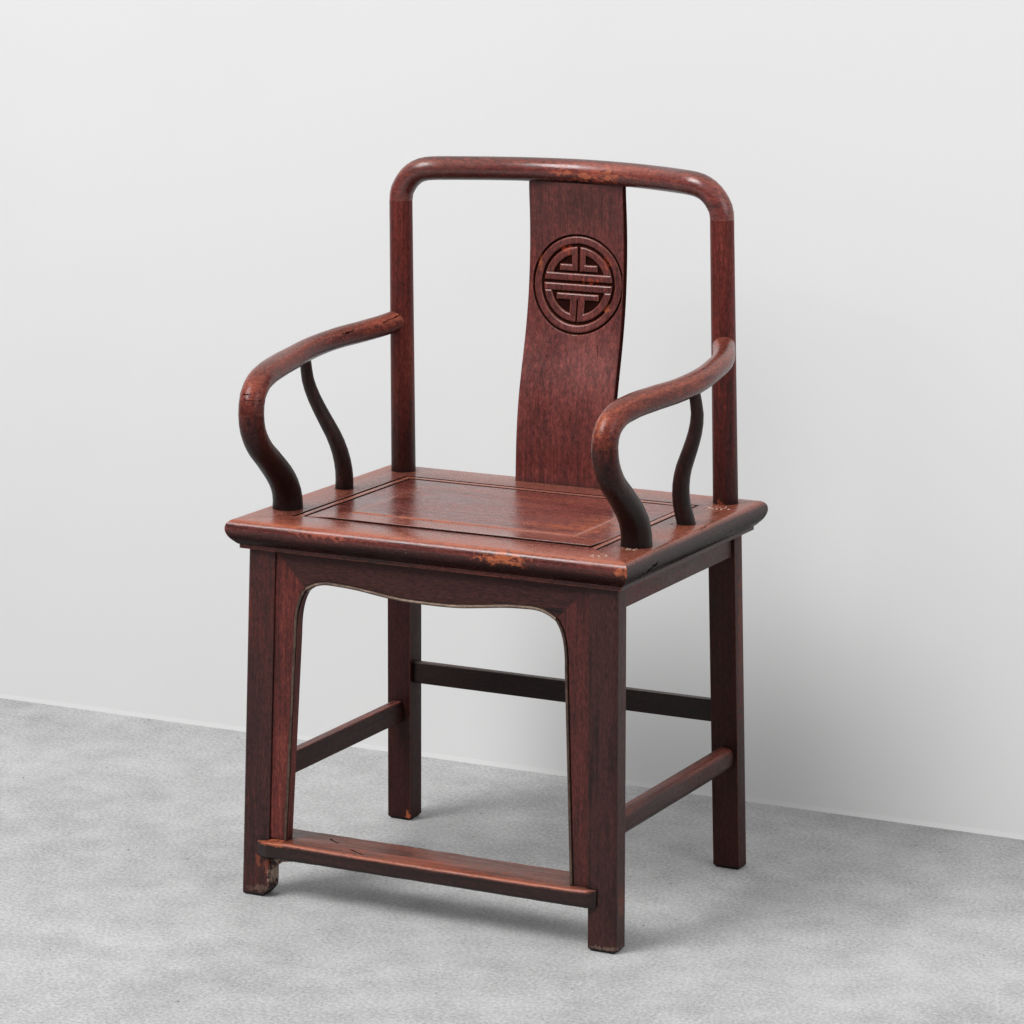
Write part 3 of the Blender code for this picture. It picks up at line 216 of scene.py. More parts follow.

# Marks of use, and one painted highlight: on which node, under which pixel, how far each way, in which colour and how
# strongly
Mark = namedtuple("Mark", "node pixel reach colour strength")
MARKS = (
    Mark("crest_rail", (588, 175), (0.060, 0.030, 0.010), EMBER, 0.7),
    Mark("crest_rail", (608, 175), (0.015, 0.030, 0.009), ORANGE, 0.9),
    Mark("crest_rail", (586, 177), (0.015, 0.030, 0.005), ORANGE, 0.8),
    Mark("crest_rail", (565, 173), (0.012, 0.030, 0.005), ORANGE, 0.7),
    Mark("seat_front_rail", (502, 559), (0.034, 0.010, 0.009), ORANGE, 0.95),
    Mark("seat_front_rail", (325, 535), (0.050, 0.014, 0.006), COPPER, 0.7),
    Mark("seat_front_rail", (240, 521), (0.020, 0.014, 0.006), COPPER, 0.5),
    Mark("seat_front_rail", (622, 571), (0.010, 0.008, 0.009), ORANGE, 0.9),
    Mark("seat_front_rail", (406, 553), (0.0022, 0.004, 0.0022), PALE, 1.0),
    Mark("seat_side_rail_right", (654, 567), (0.010, 0.006, 0.006), INK, 1.0),
    Mark("seat_side_rail_right", (671, 524), (0.004, 0.004, 0.004), INK, 1.0),
    Mark("seat_side_rail_right", (718, 507), (0.016, 0.014, 0.004), AMBER, 0.6),
    Mark("seat_panel", (560, 527), (0.060, 0.014, 0.006), ORANGE, 0.55),
    Mark("seat_panel", (598, 525), (0.040, 0.050, 0.010), ORANGE, 0.45),
    Mark("armrest_left", (247, 397), (0.006, 0.010, 0.003), PINK, 0.8),
    Mark("armrest_right", (600, 425), (0.012, 0.012, 0.020), ORANGE, 0.45),
    Mark("front_leg_left", (259, 858), (0.004, 0.006, 0.009), AMBER, 0.5),
    Mark("front_leg_left", (262, 889), (0.022, 0.010, 0.005), TAN, 0.6),
    Mark("front_leg_left", (268, 866), (0.009, 0.010, 0.018), AMBER, 0.45),
    Mark("front_leg_left", (277, 872), (0.0025, 0.030, 0.013), PALE, 0.7),
    Mark("footrest_bracket", (285, 862), (0.016, 0.020, 0.003), PALE, 0.8),
    Mark("front_leg_right", (607, 949), (0.030, 0.030, 0.003), TAN, 0.8),
    Mark("front_leg_right", (621, 905), (0.006, 0.010, 0.024), AMBER, 0.4),
    Mark("back_post_left", (408, 815), (0.004, 0.006, 0.006), ORANGE, 0.8),
    # A painted highlight down the edge of the rear right leg
    Mark("back_post_right", (741, 640), (0.006, 0.010, 0.140), AMBER, 0.3),
    Mark("back_post_right", (721, 505), (0.006, 0.010, 0.006), AMBER, 0.6),
    Mark("crest_rail", (450, 170), (0.120, 0.050, 0.030), BROWN, 0.45),
    Mark("footrest", (272, 840), (0.030, 0.014, 0.008), ORANGE, 0.7),
    Mark("footrest", (430, 862), (0.110, 0.020, 0.006), AMBER, 0.7),
    Mark("splat", (577, 200), (0.080, 0.060, 0.060), DARK, 0.5),
    Mark("splat", (541, 262), (0.004, 0.006, 0.009), ORANGE, 0.7),
    Mark("splat", (607, 309), (0.005, 0.006, 0.006), ORANGE, 0.6),
    Mark("splat", (566, 250), (0.010, 0.006, 0.006), EMBER, 0.7),
    Mark("splat", (607, 262), (0.005, 0.006, 0.010), EMBER, 0.7),
    Mark("splat", (590, 281), (0.022, 0.006, 0.004), EMBER, 0.7),
    Mark("front_spandrel_left", (311, 590), (0.004, 0.006, 0.004), PALE, 0.9),
)

# Fine cracks and open joints: on which node, between which pixels and how wide
Crack = namedtuple("Crack", "node start end width")
CRACKS = (
    Crack("footrest", (330, 839), (349, 849), 0.0009),
    Crack("footrest", (349, 849), (366, 856), 0.0007),
    Crack("footrest", (400, 845), (470, 856), 0.0004),
    Crack("splat", (597, 345), (598, 358), 0.0005),
    Crack("armrest_left", (243, 395), (251, 394), 0.0014),
    Crack("armrest_left", (243, 400), (261, 401), 0.0006),
    Crack("armrest_left", (383, 323), (402, 314), 0.0008),
    Crack("armrest_left", (395, 311), (401, 314), 0.0016),
    Crack("seat_side_rail_right", (647, 572), (660, 562), 0.0018),
    Crack("seat_side_rail_right", (633, 581), (705, 541), 0.0007),
    Crack("seat_side_rail_right", (700, 530), (748, 505), 0.0006),
)
CRACK_DEPTH = 0.02

# Crumbs of old lacquer round the feet of the posts: on which node, under which pixel and how many
Crumbs = namedtuple("Crumbs", "name node pixel count reach")
CRUMBS = (
    Crumbs("crumbs_back_post", "seat_side_rail_right", (717, 508), 40, 0.016),
    Crumbs("crumbs_front_post", "seat_side_rail_right", (633, 549), 16, 0.010),
    Crumbs("crumbs_corner", "seat_front_rail", (600, 556), 30, 0.018),
)
CRUMB_SIZE = 0.0010
CRUMB_FINISH = Finish(PINK, PALE, PALE, PALE, 0.5, 0.3, 0.6)

ALONG_X, ALONG_Y, ALONG_Z = 0, 1, 2


def camera_axes():
    """Right, up and forward directions of the camera."""
    flat = math.cos(CAMERA_PITCH)
    forward = Vector((-math.sin(CAMERA_AZIMUTH) * flat, math.cos(CAMERA_AZIMUTH) * flat, -math.sin(CAMERA_PITCH)))
    level = Vector((math.cos(CAMERA_AZIMUTH), math.sin(CAMERA_AZIMUTH), 0.0))
    upright = level.cross(forward)
    turn, lean = math.cos(CAMERA_ROLL), math.sin(CAMERA_ROLL)
    return turn * level + lean * upright, turn * upright - lean * level, forward


def pixel_ray(pixel):
    """Direction from the camera through a pixel of the picture."""
    right, up, forward = camera_axes()
    across, down = pixel[0] - IMAGE_SIZE / 2, pixel[1] - IMAGE_SIZE / 2
    return forward * FOCAL_PIXELS + right * across - up * down


def floor_point(pixel):
    """Where the floor lies under a pixel of the picture."""
    ray = pixel_ray(pixel)
    place = Vector(CAMERA_PLACE)
    return place - ray * (place.z / ray.z)


def solid_of(node):
    """The node's solid, ready for casting rays at it."""
    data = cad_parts[node].data
    return BVHTree.FromPolygons([v.co for v in data.vertices], [tuple(p.vertices) for p in data.polygons])


def touch(node, pixel):
    """Where a pixel of the picture lies on a node."""
    ray = pixel_ray(pixel).normalized()
    solid, place = solid_of(node), Vector(CAMERA_PLACE)
    hit = solid.ray_cast(place, ray)[0]
    if hit is None:
        low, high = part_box(node)
        hit = solid.find_nearest(place + ray * ((low + high) / 2 - place).dot(ray))[0]
    return hit


def make_camera():
    right, up, forward = camera_axes()
    data = bpy.data.cameras.new("camera")
    data.sensor_width = SENSOR
    data.lens = FOCAL_PIXELS / IMAGE_SIZE * SENSOR
    camera = bpy.data.objects.new("camera", data)
    bpy.context.scene.collection.objects.link(camera)
    turned = Matrix((right, up, -forward)).transposed().to_4x4()
    camera.matrix_world = Matrix.Translation(CAMERA_PLACE) @ turned
    bpy.context.scene.camera = camera


def plain_surface(name, corners, material):
    mesh = bpy.data.meshes.new(name)
    mesh.from_pydata([tuple(corner) for corner in corners], [], [(0, 1, 2, 3)])
    mesh.materials.append(material)
    made = bpy.data.objects.new(name, mesh)
    bpy.context.scene.collection.objects.link(made)
    made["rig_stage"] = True
    return made


class Paint:
    """A node tree, and short calls that add linked nodes to it."""

    def __init__(self, tree):
        self.tree = tree

    def feed(self, socket, value):
        if isinstance(value, bpy.types.NodeSocket):
            self.tree.links.new(value, socket)
        else:
            socket.default_value = value

    def node(self, kind, sockets, out=0, **settings):
        made = self.tree.nodes.new("ShaderNode" + kind)
        for name, value in settings.items():
            setattr(made, name, value)
        for socket, value in sockets.items():
            self.feed(made.inputs[socket], value)
        return made.outputs[out]

    def sum(self, kind, first, second=0.0, clamp=False):
        return self.node("Math", {0: first, 1: second}, operation=kind, use_clamp=clamp)

    def vector(self, kind, first, second=(0.0, 0.0, 0.0), out=0):
        return self.node("VectorMath", {0: first, 1: second}, out, operation=kind)

    def span(self, value, low, high, to_low=0.0, to_high=1.0):
        """Eases one span of a value onto another."""
        sockets = {"Value": value, "From Min": low, "From Max": high, "To Min": to_low, "To Max": to_high}
        return self.node("MapRange", sockets, interpolation_type="SMOOTHSTEP")

    def noise(self, place, scale, detail, rough=0.55, bend=0.0):
        sockets = {"Vector": place, "Scale": scale, "Detail": detail, "Roughness": rough, "Distortion": bend}
        return self.node("TexNoise", sockets)

    def blend(self, share, first, second, kind="MIX"):
        colours = [value if isinstance(value, bpy.types.NodeSocket) else (*value, 1.0) for value in (first, second)]
        return self.node("Mix", {0: share, 6: colours[0], 7: colours[1]}, 2, data_type="RGBA", blend_type=kind)

    def ramp(self, share, stops):
        made = self.tree.nodes.new("ShaderNodeValToRGB")
        marks = made.color_ramp.elements
        while len(marks) < len(stops):
            marks.new(0.5)
        for mark, (place, colour) in zip(marks, stops):
            mark.position = place
            mark.color = (*colour, 1.0)
        self.feed(made.inputs["Fac"], share)
        return made.outputs["Color"]


def new_material(name):
    """A material with its shader and a Paint for its nodes."""
    material = bpy.data.materials.new(name)
    material.use_nodes = True
    return material, material.node_tree.nodes["Principled BSDF"], Paint(material.node_tree)


def floor_material():
    """Mottled grey screed."""
    material, shader, paint = new_material("floor_screed")
    place = paint.node("TexCoord", {}, "Object")
    broad = paint.noise(place, 2.2, 3.0, 0.5)
    smudge = paint.noise(place, 14.0, 5.0, 0.6)
    grit = paint.noise(place, 190.0, 4.0, 0.85)
    cloud = paint.sum("ADD", paint.sum("MULTIPLY", broad, 0.16), paint.sum("MULTIPLY", smudge, 0.20))
    share = paint.sum("ADD", cloud, paint.sum("MULTIPLY", grit, 0.64))
    colour = paint.ramp(share, ((0.41, FLOOR_DARK), (0.59, FLOOR_PALE)))
    pits = paint.span(paint.noise(place, 75.0, 2.0, 0.5), 0.735, 0.765)
    paint.feed(shader.inputs["Base Color"], paint.blend(pits, colour, FLOOR_PIT))
    shader.inputs["Roughness"].default_value = 0.85
    paint.feed(shader.inputs["Normal"], paint.node("Bump", {"Strength": 0.25, "Distance": 0.002, "Height": grit}))
    return material


def along_wall(pixel_across):
    """How far along the wall's foot a pixel column of the picture lies."""
    share = pixel_across / IMAGE_SIZE
    down = WALL_LEFT_PIXEL[1] + (WALL_RIGHT_PIXEL[1] - WALL_LEFT_PIXEL[1]) * share
    return (floor_point((pixel_across, down)) - floor_point(WALL_LEFT_PIXEL)).length


def wall_material(left, along):
    """Off-white plaster that shows nearly evenly bright, with a soft shadow low on the right, clear from behind."""
    material, shader, paint = new_material("wall_plaster")
    shader.inputs["Base Color"].default_value = (*WALL_COLOUR, 1.0)
    shader.inputs["Roughness"].default_value = 0.9
    place = paint.node("TexCoord", {}, "Object")
    across = paint.vector("DOT_PRODUCT", paint.vector("SUBTRACT", place, tuple(left)), tuple(along), out="Value")
    height = paint.node("SeparateXYZ", {"Vector": place}, "Z")
    cloud = paint.noise(place, 2.5, 4.0)
    # Painted light and shade in the wall's tone: paler upwards and dimmer low on the right
    low_right = paint.sum("MULTIPLY", paint.span(across, 0.7, 2.1), paint.span(height, 0.75, -0.1))
    tone = paint.ramp(paint.span(height, -0.3, 1.3), ((0.0, WALL_LOW), (1.0, WALL_HIGH)))
    shade = paint.sum("ADD", paint.sum("MULTIPLY", low_right, WALL_SHADE), paint.span(cloud, 0.3, 0.7, -0.015, 0.015))
    # A painted soft shadow of the chair, low on the wall
    begins, full, fades, ends = [along_wall(column) for column in WALL_SHADOW_PIXELS]
    soft = paint.sum("MULTIPLY", paint.span(across, begins, full), paint.span(across, ends, fades))
    soft = paint.sum("MULTIPLY", soft, paint.span(height, WALL_SHADOW_TOP, WALL_SHADOW_BASE, 0.0, WALL_SHADOW))
    tone = paint.blend(paint.span(height, WALL_FOOT_HEIGHT, WALL_FOOT_HEIGHT * 0.7, 0.0, 0.3), tone, WALL_FOOT)
    tone = paint.blend(paint.sum("ADD", shade, soft), tone, (0.0, 0.0, 0.0))
    glow = paint.node("Emission", {"Color": tone})
    seen = paint.node("LightPath", {}, "Is Camera Ray")
    seen = paint.sum("MAXIMUM", seen, paint.node("LightPath", {}, "Is Glossy Ray"))
    plaster = paint.node("MixShader", {0: paint.sum("MULTIPLY", seen, WALL_GLOW_SHARE), 1: shader.outputs["BSDF"], 2: glow})
    behind = paint.node("NewGeometry", {}, "Backfacing")
    both = paint.node("MixShader", {0: behind, 1: plaster, 2: paint.node("BsdfTransparent", {})})
    paint.feed(material.node_tree.nodes["Material Output"].inputs["Surface"], both)
    return material


def make_room():
    left, right = floor_point(WALL_LEFT_PIXEL), floor_point(WALL_RIGHT_PIXEL)
    along = (right - left).normalized()
    far = STAGE_REACH
    plain_surface("floor", [(-far, -far, 0), (far, -far, 0), (far, far, 0), (-far, far, 0)], floor_material())
    start, end = left - along * far, right + along * far
    rise = Vector((0, 0, WALL_HEIGHT))
    plain_surface("wall", [start, end, end + rise, start + rise], wall_material(left, along))


def soft_box(lamp):
    data = bpy.data.lights.new(lamp.name, "AREA")
    data.shape = "RECTANGLE"
    data.size, data.size_y = lamp.size
    data.energy = lamp.power
    made = bpy.data.objects.new(lamp.name, data)
    bpy.context.scene.collection.objects.link(made)
    made.location = lamp.place
    made.rotation_mode = "QUATERNION"
    made.rotation_quaternion = (Vector(lamp.aim) - Vector(lamp.place)).to_track_quat("-Z", "Y")


def light_room():
    world = bpy.data.worlds.new("soft_daylight")
    world.use_nodes = True
    paint = Paint(world.node_tree)
    sky = world.node_tree.nodes["Background"]
    height = paint.node("SeparateXYZ", {"Vector": paint.node("TexCoord", {}, "Generated")}, "Z")
    paint.feed(sky.inputs["Color"], paint.ramp(height, ((0.0, SKY_LOW), (0.8, SKY_HIGH))))
    sky.inputs["Strength"].default_value = SKY_STRENGTH
    bpy.context.scene.world = world
    for lamp in LAMPS:
        soft_box(lamp)


def mark_share(paint, place, mark, grit):
    """How strongly a mark of use shows at a place: a ragged patch round its middle."""
    middle = touch(mark.node, mark.pixel)
    away = paint.vector("SUBTRACT", place, tuple(middle))
    away = paint.vector("LENGTH", paint.vector("DIVIDE", away, mark.reach), out="Value")
    ragged = paint.sum("ADD", away, paint.span(grit, 0.32, 0.68, 0.75, -0.65))
    return paint.span(ragged, 1.1, 0.45, 0.0, mark.strength)


def crack_share(paint, place, crack, wander):
    """How dark a fine crack is at a place: a thin flat cut into the wood between two points, a little wavy."""
    start, end = touch(crack.node, crack.start), touch(crack.node, crack.end)
    run = end - start
    forward = run.normalized()
    inwards = pixel_ray(crack.start).normalized()
    away = paint.vector("SUBTRACT", place, tuple(start))
    gone = paint.vector("DOT_PRODUCT", away, tuple(forward), out="Value")
    aside = paint.vector("DOT_PRODUCT", away, tuple(run.cross(inwards).normalized()), out="Value")
    aside = paint.sum("ADD", aside, paint.span(wander, 0.3, 0.7, -crack.width, crack.width))
    line = paint.span(paint.sum("ABSOLUTE", aside), crack.width, crack.width * 0.4)
    inside = paint.sum("MULTIPLY", paint.sum("GREATER_THAN", gone), paint.sum("LESS_THAN", gone, run.length))
    deep = paint.vector("DOT_PRODUCT", away, tuple(inwards), out="Value")
    inside = paint.sum("MULTIPLY", inside, paint.sum("LESS_THAN", paint.sum("ABSOLUTE", deep), CRACK_DEPTH))
    return paint.sum("MULTIPLY", line, inside)


def finish_of(node):
    return next(finish for start, finish in FINISHES.items() if node.startswith(start))


def wood(name, node, grain, finish, layers=()):
    """Worn lacquer on hardwood: figure along the grain, rubbed tops and edges, marks of use, and painted light and
    shade:
    lighter tops, darker lower down and underneath, and crevices darkened with dirt and painted shade.

    Layers are the mesh's own values: rub where lacquer is rubbed off, on some arrises also as a painted
    highlight, and sunk where shade is painted into grooves, gaps and undersides.
    """
    material, shader, paint = new_material(name + "_lacquer")
    place = paint.node("TexCoord", {}, "Object")
    shift = sum(map(ord, name)) * 0.37

    def along_grain(across, along):
        scale = [across] * 3
        scale[grain] = along
        return paint.node("Mapping", {"Vector": place, "Location": (shift, shift * 0.7, shift * 0.3), "Scale": scale})

    broad = paint.noise(along_grain(11.0, 5.0), 1.0, 3.0)
    streak = paint.noise(along_grain(210.0, 7.0), 1.0, 6.0, 0.62, 0.35)
    fine = paint.noise(along_grain(520.0, 130.0), 1.0, 4.0, 0.75)
    grit = paint.noise(along_grain(170.0, 110.0), 1.0, 5.0, 0.7)
    normal = paint.node("NewGeometry", {}, "Normal")

    figure = paint.sum("ADD", paint.sum("MULTIPLY", streak, 0.42), paint.sum("MULTIPLY", broad, 0.33))
    figure = paint.sum("ADD", figure, paint.sum("MULTIPLY", grit, 0.25))
    colour = paint.ramp(figure, ((0.37, finish.dark), (0.50, finish.mid), (0.63, finish.light)))
    worn = paint.ramp(figure, ((0.38, [c * 0.62 for c in finish.rubbed]), (0.60, finish.rubbed)))

    # Tops that face upwards take the rubbed colour: rubbed lacquer, and a painted light from above
    facing = paint.node("SeparateXYZ", {"Vector": normal}, "Z")
    upward_rub_and_light = paint.span(facing, 0.25, 0.92)
    patch = paint.span(paint.sum("ADD", streak, broad), 0.78, 1.10, 0.45, 1.0)
    colour = paint.blend(paint.sum("MULTIPLY", paint.sum("MULTIPLY", upward_rub_and_light, patch), finish.top), colour, worn)

    if finish.crown:
        colour = paint.blend(paint.span(facing, 0.62, 0.98, 0.0, finish.crown), colour, BROWN)
    # Painted shade: darker lower down, between the finish's turn heights
    if finish.deep:
        height = paint.node("SeparateXYZ", {"Vector": place}, "Z")
        lower = paint.span(height, finish.turn[1], finish.turn[0], 0.0, finish.deep)
        colour = paint.blend(lower, colour, SOOT)
    # Painted shade: surfaces that face downwards turn towards soot
    painted_underside_shade = paint.span(facing, 0.25, -0.75, 0.0, 0.72)
    colour = paint.blend(painted_underside_shade, colour, SOOT)

    colour = paint.blend(1.0, colour, paint.span(fine, 0.32, 0.68, 0.52, 1.42), "MULTIPLY")
    # Dirt and painted shade in crevices: where the surroundings close in, the colour turns to ink and the surface
    # rougher
    hidden = paint.node("AmbientOcclusion", {"Distance": 0.018}, "AO", samples=4)
    crevice_dirt_and_shade = paint.span(hidden, 0.35, 0.85, 0.80, 0.0)
    colour = paint.blend(crevice_dirt_and_shade, colour, INK)

    rounded = paint.node("Bevel", {"Radius": 0.0022}, samples=4)
    bent = paint.vector("DOT_PRODUCT", rounded, normal, out="Value")
    arris = paint.span(bent, 0.995, 0.90)
    arris = paint.sum("MULTIPLY", arris, paint.span(grit, 0.36, 0.58))
    arris = paint.sum("MULTIPLY", arris, paint.span(hidden, 0.45, 0.75, 0.0, finish.edge))
    colour = paint.blend(arris, colour, paint.ramp(streak, ((0.3, ORANGE), (0.7, PINK))))

    # Rubbed lacquer where the mesh's rub layer says; on the carving's and the footrest's arrises it is also a painted
    # highlight
    if "rub" in layers:
        rub = paint.node("Attribute", {}, "Fac", attribute_name="rub")
        rub = paint.sum("MULTIPLY", rub, paint.span(grit, 0.30, 0.52, 0.25, 1.0))
        colour = paint.blend(rub, colour, paint.ramp(streak, ((0.35, ORANGE), (0.6, PINK))))
    dull = []
    # Painted shade where the mesh's sunk layer says: grooves, gaps and undersides turn to soot
    if "sunk" in layers:
        dull.append(paint.node("Attribute", {}, "Fac", attribute_name="sunk"))
        colour = paint.blend(dull[0], colour, SOOT)
    for mark in MARKS:
        if mark.node == node:
            chipped = paint.ramp(streak, ((0.36, [c * 0.5 for c in mark.colour]), (0.56, mark.colour)))
            share = mark_share(paint, place, mark, grit)
            colour = paint.blend(share, colour, chipped)
            dull += [share] * (mark.colour is INK)
    for crack in CRACKS:
        if crack.node == node:
            share = crack_share(paint, place, crack, grit)
            colour = paint.blend(share, colour, INK)
            dull.append(share)
    paint.feed(shader.inputs["Base Color"], colour)

    shader.inputs["Specular IOR Level"].default_value = finish.shine
    if dull:
        dulled = dull[0]
        for share in dull[1:]:
            dulled = paint.sum("MAXIMUM", dulled, share)
        paint.feed(shader.inputs["Specular IOR Level"], paint.span(dulled, 0.0, 0.8, finish.shine, 0.0))
    rough = paint.span(paint.sum("ADD", broad, grit), 0.75, 1.25, finish.rough - 0.06, finish.rough + 0.12)
    paint.feed(shader.inputs["Roughness"], paint.sum("ADD", rough, paint.sum("MULTIPLY", crevice_dirt_and_shade, 0.3)))
    relief = paint.sum("ADD", paint.sum("MULTIPLY", fine, 0.5), paint.sum("MULTIPLY", streak, 0.5))
    paint.feed(shader.inputs["Normal"], paint.node("Bump", {"Strength": 0.22, "Distance": 0.0012, "Height": relief}))
    return material


def disc(across, up, radius):
    """Distance outside a disc round the roundel's middle."""
    return np.hypot(across, up) - radius


def ring(across, up, inner, outer):
    return np.maximum(disc(across, up, outer), -disc(across, up, inner))


def bar(across, up, left, right, bottom, top):
    """Distance outside a level bar."""
    return np.maximum(np.maximum(left - across, across - right), np.maximum(bottom - up, up - top))


def fret(across, up):
    """Distance outside the roundel's raised forms, both sides alike, as a share of its radius."""
    side = np.abs(across)
    rim = ring(across, up, 0.60, 0.745)
    upper = bar(side, up, 0.03, 2.0, 0.215, 2.0)
    lower = bar(side, up, 0.02, 2.0, -2.0, -0.14)
    inside = disc(across, up, 0.745)
    rails = np.maximum(np.minimum(bar(side, up, -1.0, 2.0, 0.068, 0.21), bar(side, up, -1.0, 2.0, -0.14, 0.002)), inside)
    hook = np.minimum(bar(side, up, 0.03, 0.145, 0.26, 0.70), bar(side, up, 0.03, 0.41, 0.26, 0.39))
    tee = np.minimum(bar(side, up, -1.0, 0.46, -0.31, -0.188), bar(side, up, 0.02, 0.155, -0.70, -0.188))
    top_half = np.maximum(np.minimum(rim, hook), np.maximum(upper, inside))
    low_half = np.minimum(np.maximum(rim, lower), np.maximum(tee, inside))
    band = ring(across, up, 0.81, 0.955)
    outside = -disc(across, up, 1.0)
    return np.minimum.reduce([rails, top_half, low_half, band, outside])


def eased(share):
    """A share from 0 to 1, eased at both ends."""
    share = np.clip(share, 0.0, 1.0)
    return share * share * (3 - 2 * share)


def roundel_depth(x, z):
    """How deep the carving lies under the splat's face: pillowed forms with sunk ground between them."""
    across, up = (x - ROUNDEL_MIDDLE) / ROUNDEL_RADIUS, (z - ROUNDEL_HEIGHT) / ROUNDEL_RADIUS
    away = fret(across, up) * ROUNDEL_RADIUS + CARVE_PILLOW / 2
    inside = np.hypot(across, up) < 1.0
    pillow = CARVE_PILLOW * eased(away / CARVE_WALL + 1.0) * inside
    return pillow + (CARVE_DEPTH - CARVE_PILLOW) * eased(away / CARVE_WALL) * (away > 0)


def solid_mesh(name, rings):
    """A closed mesh through rings of equally many points."""
    count = len(rings[0])
    points = [tuple(point) for ring_points in rings for point in ring_points]
    faces = [(row * count + i, row * count + (i + 1) % count, (row + 1) * count + (i + 1) % count, (row + 1) * count + i)
             for row in range(len(rings) - 1) for i in range(count)]
    faces.append(tuple(range(count))[::-1])
    faces.append(tuple(range((len(rings) - 1) * count, len(rings) * count)))
    mesh = bpy.data.meshes.new(name)
    mesh.from_pydata(points, [], faces)
    shape = bmesh.new()
    shape.from_mesh(mesh)
    bmesh.ops.recalc_face_normals(shape, faces=shape.faces)
    shape.to_mesh(mesh)
    shape.free()
    return mesh


def board_faces(node, heights, x):
    """Front and back of an upright board at some heights, found by rays from ahead and from behind."""
    solid = solid_of(node)
    low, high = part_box(node)
    front, back = [], []
    for z in heights:
        front.append(solid.ray_cast(Vector((x, low.y - 1, z)), Vector((0, 1, 0)))[0].y)
        back.append(solid.ray_cast(Vector((x, high.y + 1, z)), Vector((0, -1, 0)))[0].y)
    return np.array(front), np.array(back)


def make_splat():
    """The curved board with its carved roundel, standing for the CAD splat."""
    low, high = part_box("splat")
    seat_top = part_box("seat_back_rail")[1].z
    foot = seat_top + 0.0003
    head = high.z - 0.010
    coarse = np.arange(foot, head, BOARD_STEP)
    fine_low, fine_high = ROUNDEL_HEIGHT - ROUNDEL_RADIUS * 1.04, ROUNDEL_HEIGHT + ROUNDEL_RADIUS * 1.04
    fine = np.arange(fine_low, fine_high, CARVE_STEP)
    heights = np.concatenate([coarse[coarse < fine_low], fine, coarse[coarse > fine_high], [head]])
    rows = np.arange(foot + 0.001, head - 0.001, BOARD_STEP)
    front, back = board_faces("splat", rows, 0.01)
    kernel = np.ones(5) / 5
    front = np.convolve(np.pad(front, 2, mode="edge"), kernel, mode="valid")
    back = np.convolve(np.pad(back, 2, mode="edge"), kernel, mode="valid")
    front, back = np.interp(heights, rows, front), np.interp(heights, rows, back)
    half_foot, half_head = high.x, high.x * 0.967
    half = np.interp(heights, [foot, head], [half_foot, half_head])
    turns = np.linspace(0, np.pi / 2, 4)
    rounding = ARRIS * (1 - np.sin(turns))
    columns = np.arange(-1 + 1e-9, 1, CARVE_STEP / high.x)
    rings, sunk, rub = [], [], []
    for z, y0, y1, reach in zip(heights, front, back, half):
        x = columns * (reach - ARRIS)
        depths = roundel_depth(x, np.full_like(x, z))
        face = [(a, y0 + d, z) for a, d in zip(x, depths)]
        corner = [(reach - ARRIS + ARRIS * np.sin(t), ARRIS * (1 - np.cos(t))) for t in turns]
        right_front = [(a, y0 + d, z) for a, d in corner]
        right_back = [(a, y1 - d, z) for a, d in corner[::-1]]
        left_back = [(-a, y1 - d, z) for a, d in corner]
        left_front = [(-a, y0 + d, z) for a, d in corner[::-1]]
        rear = [(a, y1, z) for a in np.linspace(reach - ARRIS, ARRIS - reach, 14)[1:-1]]
        rings.append([*face, *right_front, *right_back, *rear, *left_back, *left_front[:-1]])
        # Painted shade on the rounded sides and in the grooves
        corner_shade = list(eased(np.sin(turns) * 1.6 - 0.6) * SIDE_SHADE)
        others = [*corner_shade, *corner_shade[::-1], *([0.0] * len(rear)), *corner_shade, *corner_shade[::-1][:-1]]
        sunk.append([*(GROOVE_SHADE * eased((depths - CARVE_PILLOW) / CARVE_WALL)), *others])
        # Rubbed lacquer and a painted highlight on the shoulders of the raised forms
        lit = eased((depths - CARVE_PILLOW * 0.25) / CARVE_PILLOW) * (depths < CARVE_PILLOW * 1.3)
        rub.append([*(ARRIS_RUB_AND_HIGHLIGHT * lit), *([0.0] * len(others))])
    mesh = solid_mesh("splat_look", rings)
    add_layer(mesh, "sunk", sunk)
    add_layer(mesh, "rub", rub)
    return stand_for("splat", mesh, ALONG_Z)


def add_layer(mesh, name, values):
    """Gives each point of a mesh a value for its material to read."""
    layer = mesh.attributes.new(name, "FLOAT", "POINT")
    layer.data.foreach_set("value", np.asarray(values, dtype=np.float32).ravel())


def link_look(name, mesh):
    made = bpy.data.objects.new(name, mesh)
    bpy.context.scene.collection.objects.link(made)
    return made


def stand_for(node, mesh, grain, angle=SMOOTH_ANGLE):
    """Puts a mesh in place of a CAD node, with a wood of its own."""
    mesh.materials.clear()
    mesh.materials.append(wood(node, node, grain, finish_of(node), mesh.attributes.keys()))
    made = link_look(node + "_look", mesh)
    mesh.shade_smooth()
    mesh.set_sharp_from_angle(angle=angle)
    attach(made, "root")
    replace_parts(made, node)
    return made


def seat_edges():
    """The seat's upper edges: half its width, then its front and its back."""
    front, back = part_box("seat_front_rail"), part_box("seat_back_rail")
    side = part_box("seat_side_rail_right")
    return side[1].x - MOULD_PROUD, front[0].y + MOULD_PROUD, back[1].y - MOULD_PROUD


def panel_opening():
    """The frame's inner edges: left, front, right and back."""
    return (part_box("seat_side_rail_left")[1].x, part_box("seat_front_rail")[1].y,
            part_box("seat_side_rail_right")[0].x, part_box("seat_back_rail")[0].y)


def mitre(inset, own_width, other_width):
    """How far in from the neighbour's edge the mitre runs, at an inset from the member's own edge."""
    if inset < CORNER_REACH:
        return inset
    return CORNER_REACH + (inset - CORNER_REACH) * (other_width - CORNER_REACH) / (own_width - CORNER_REACH)


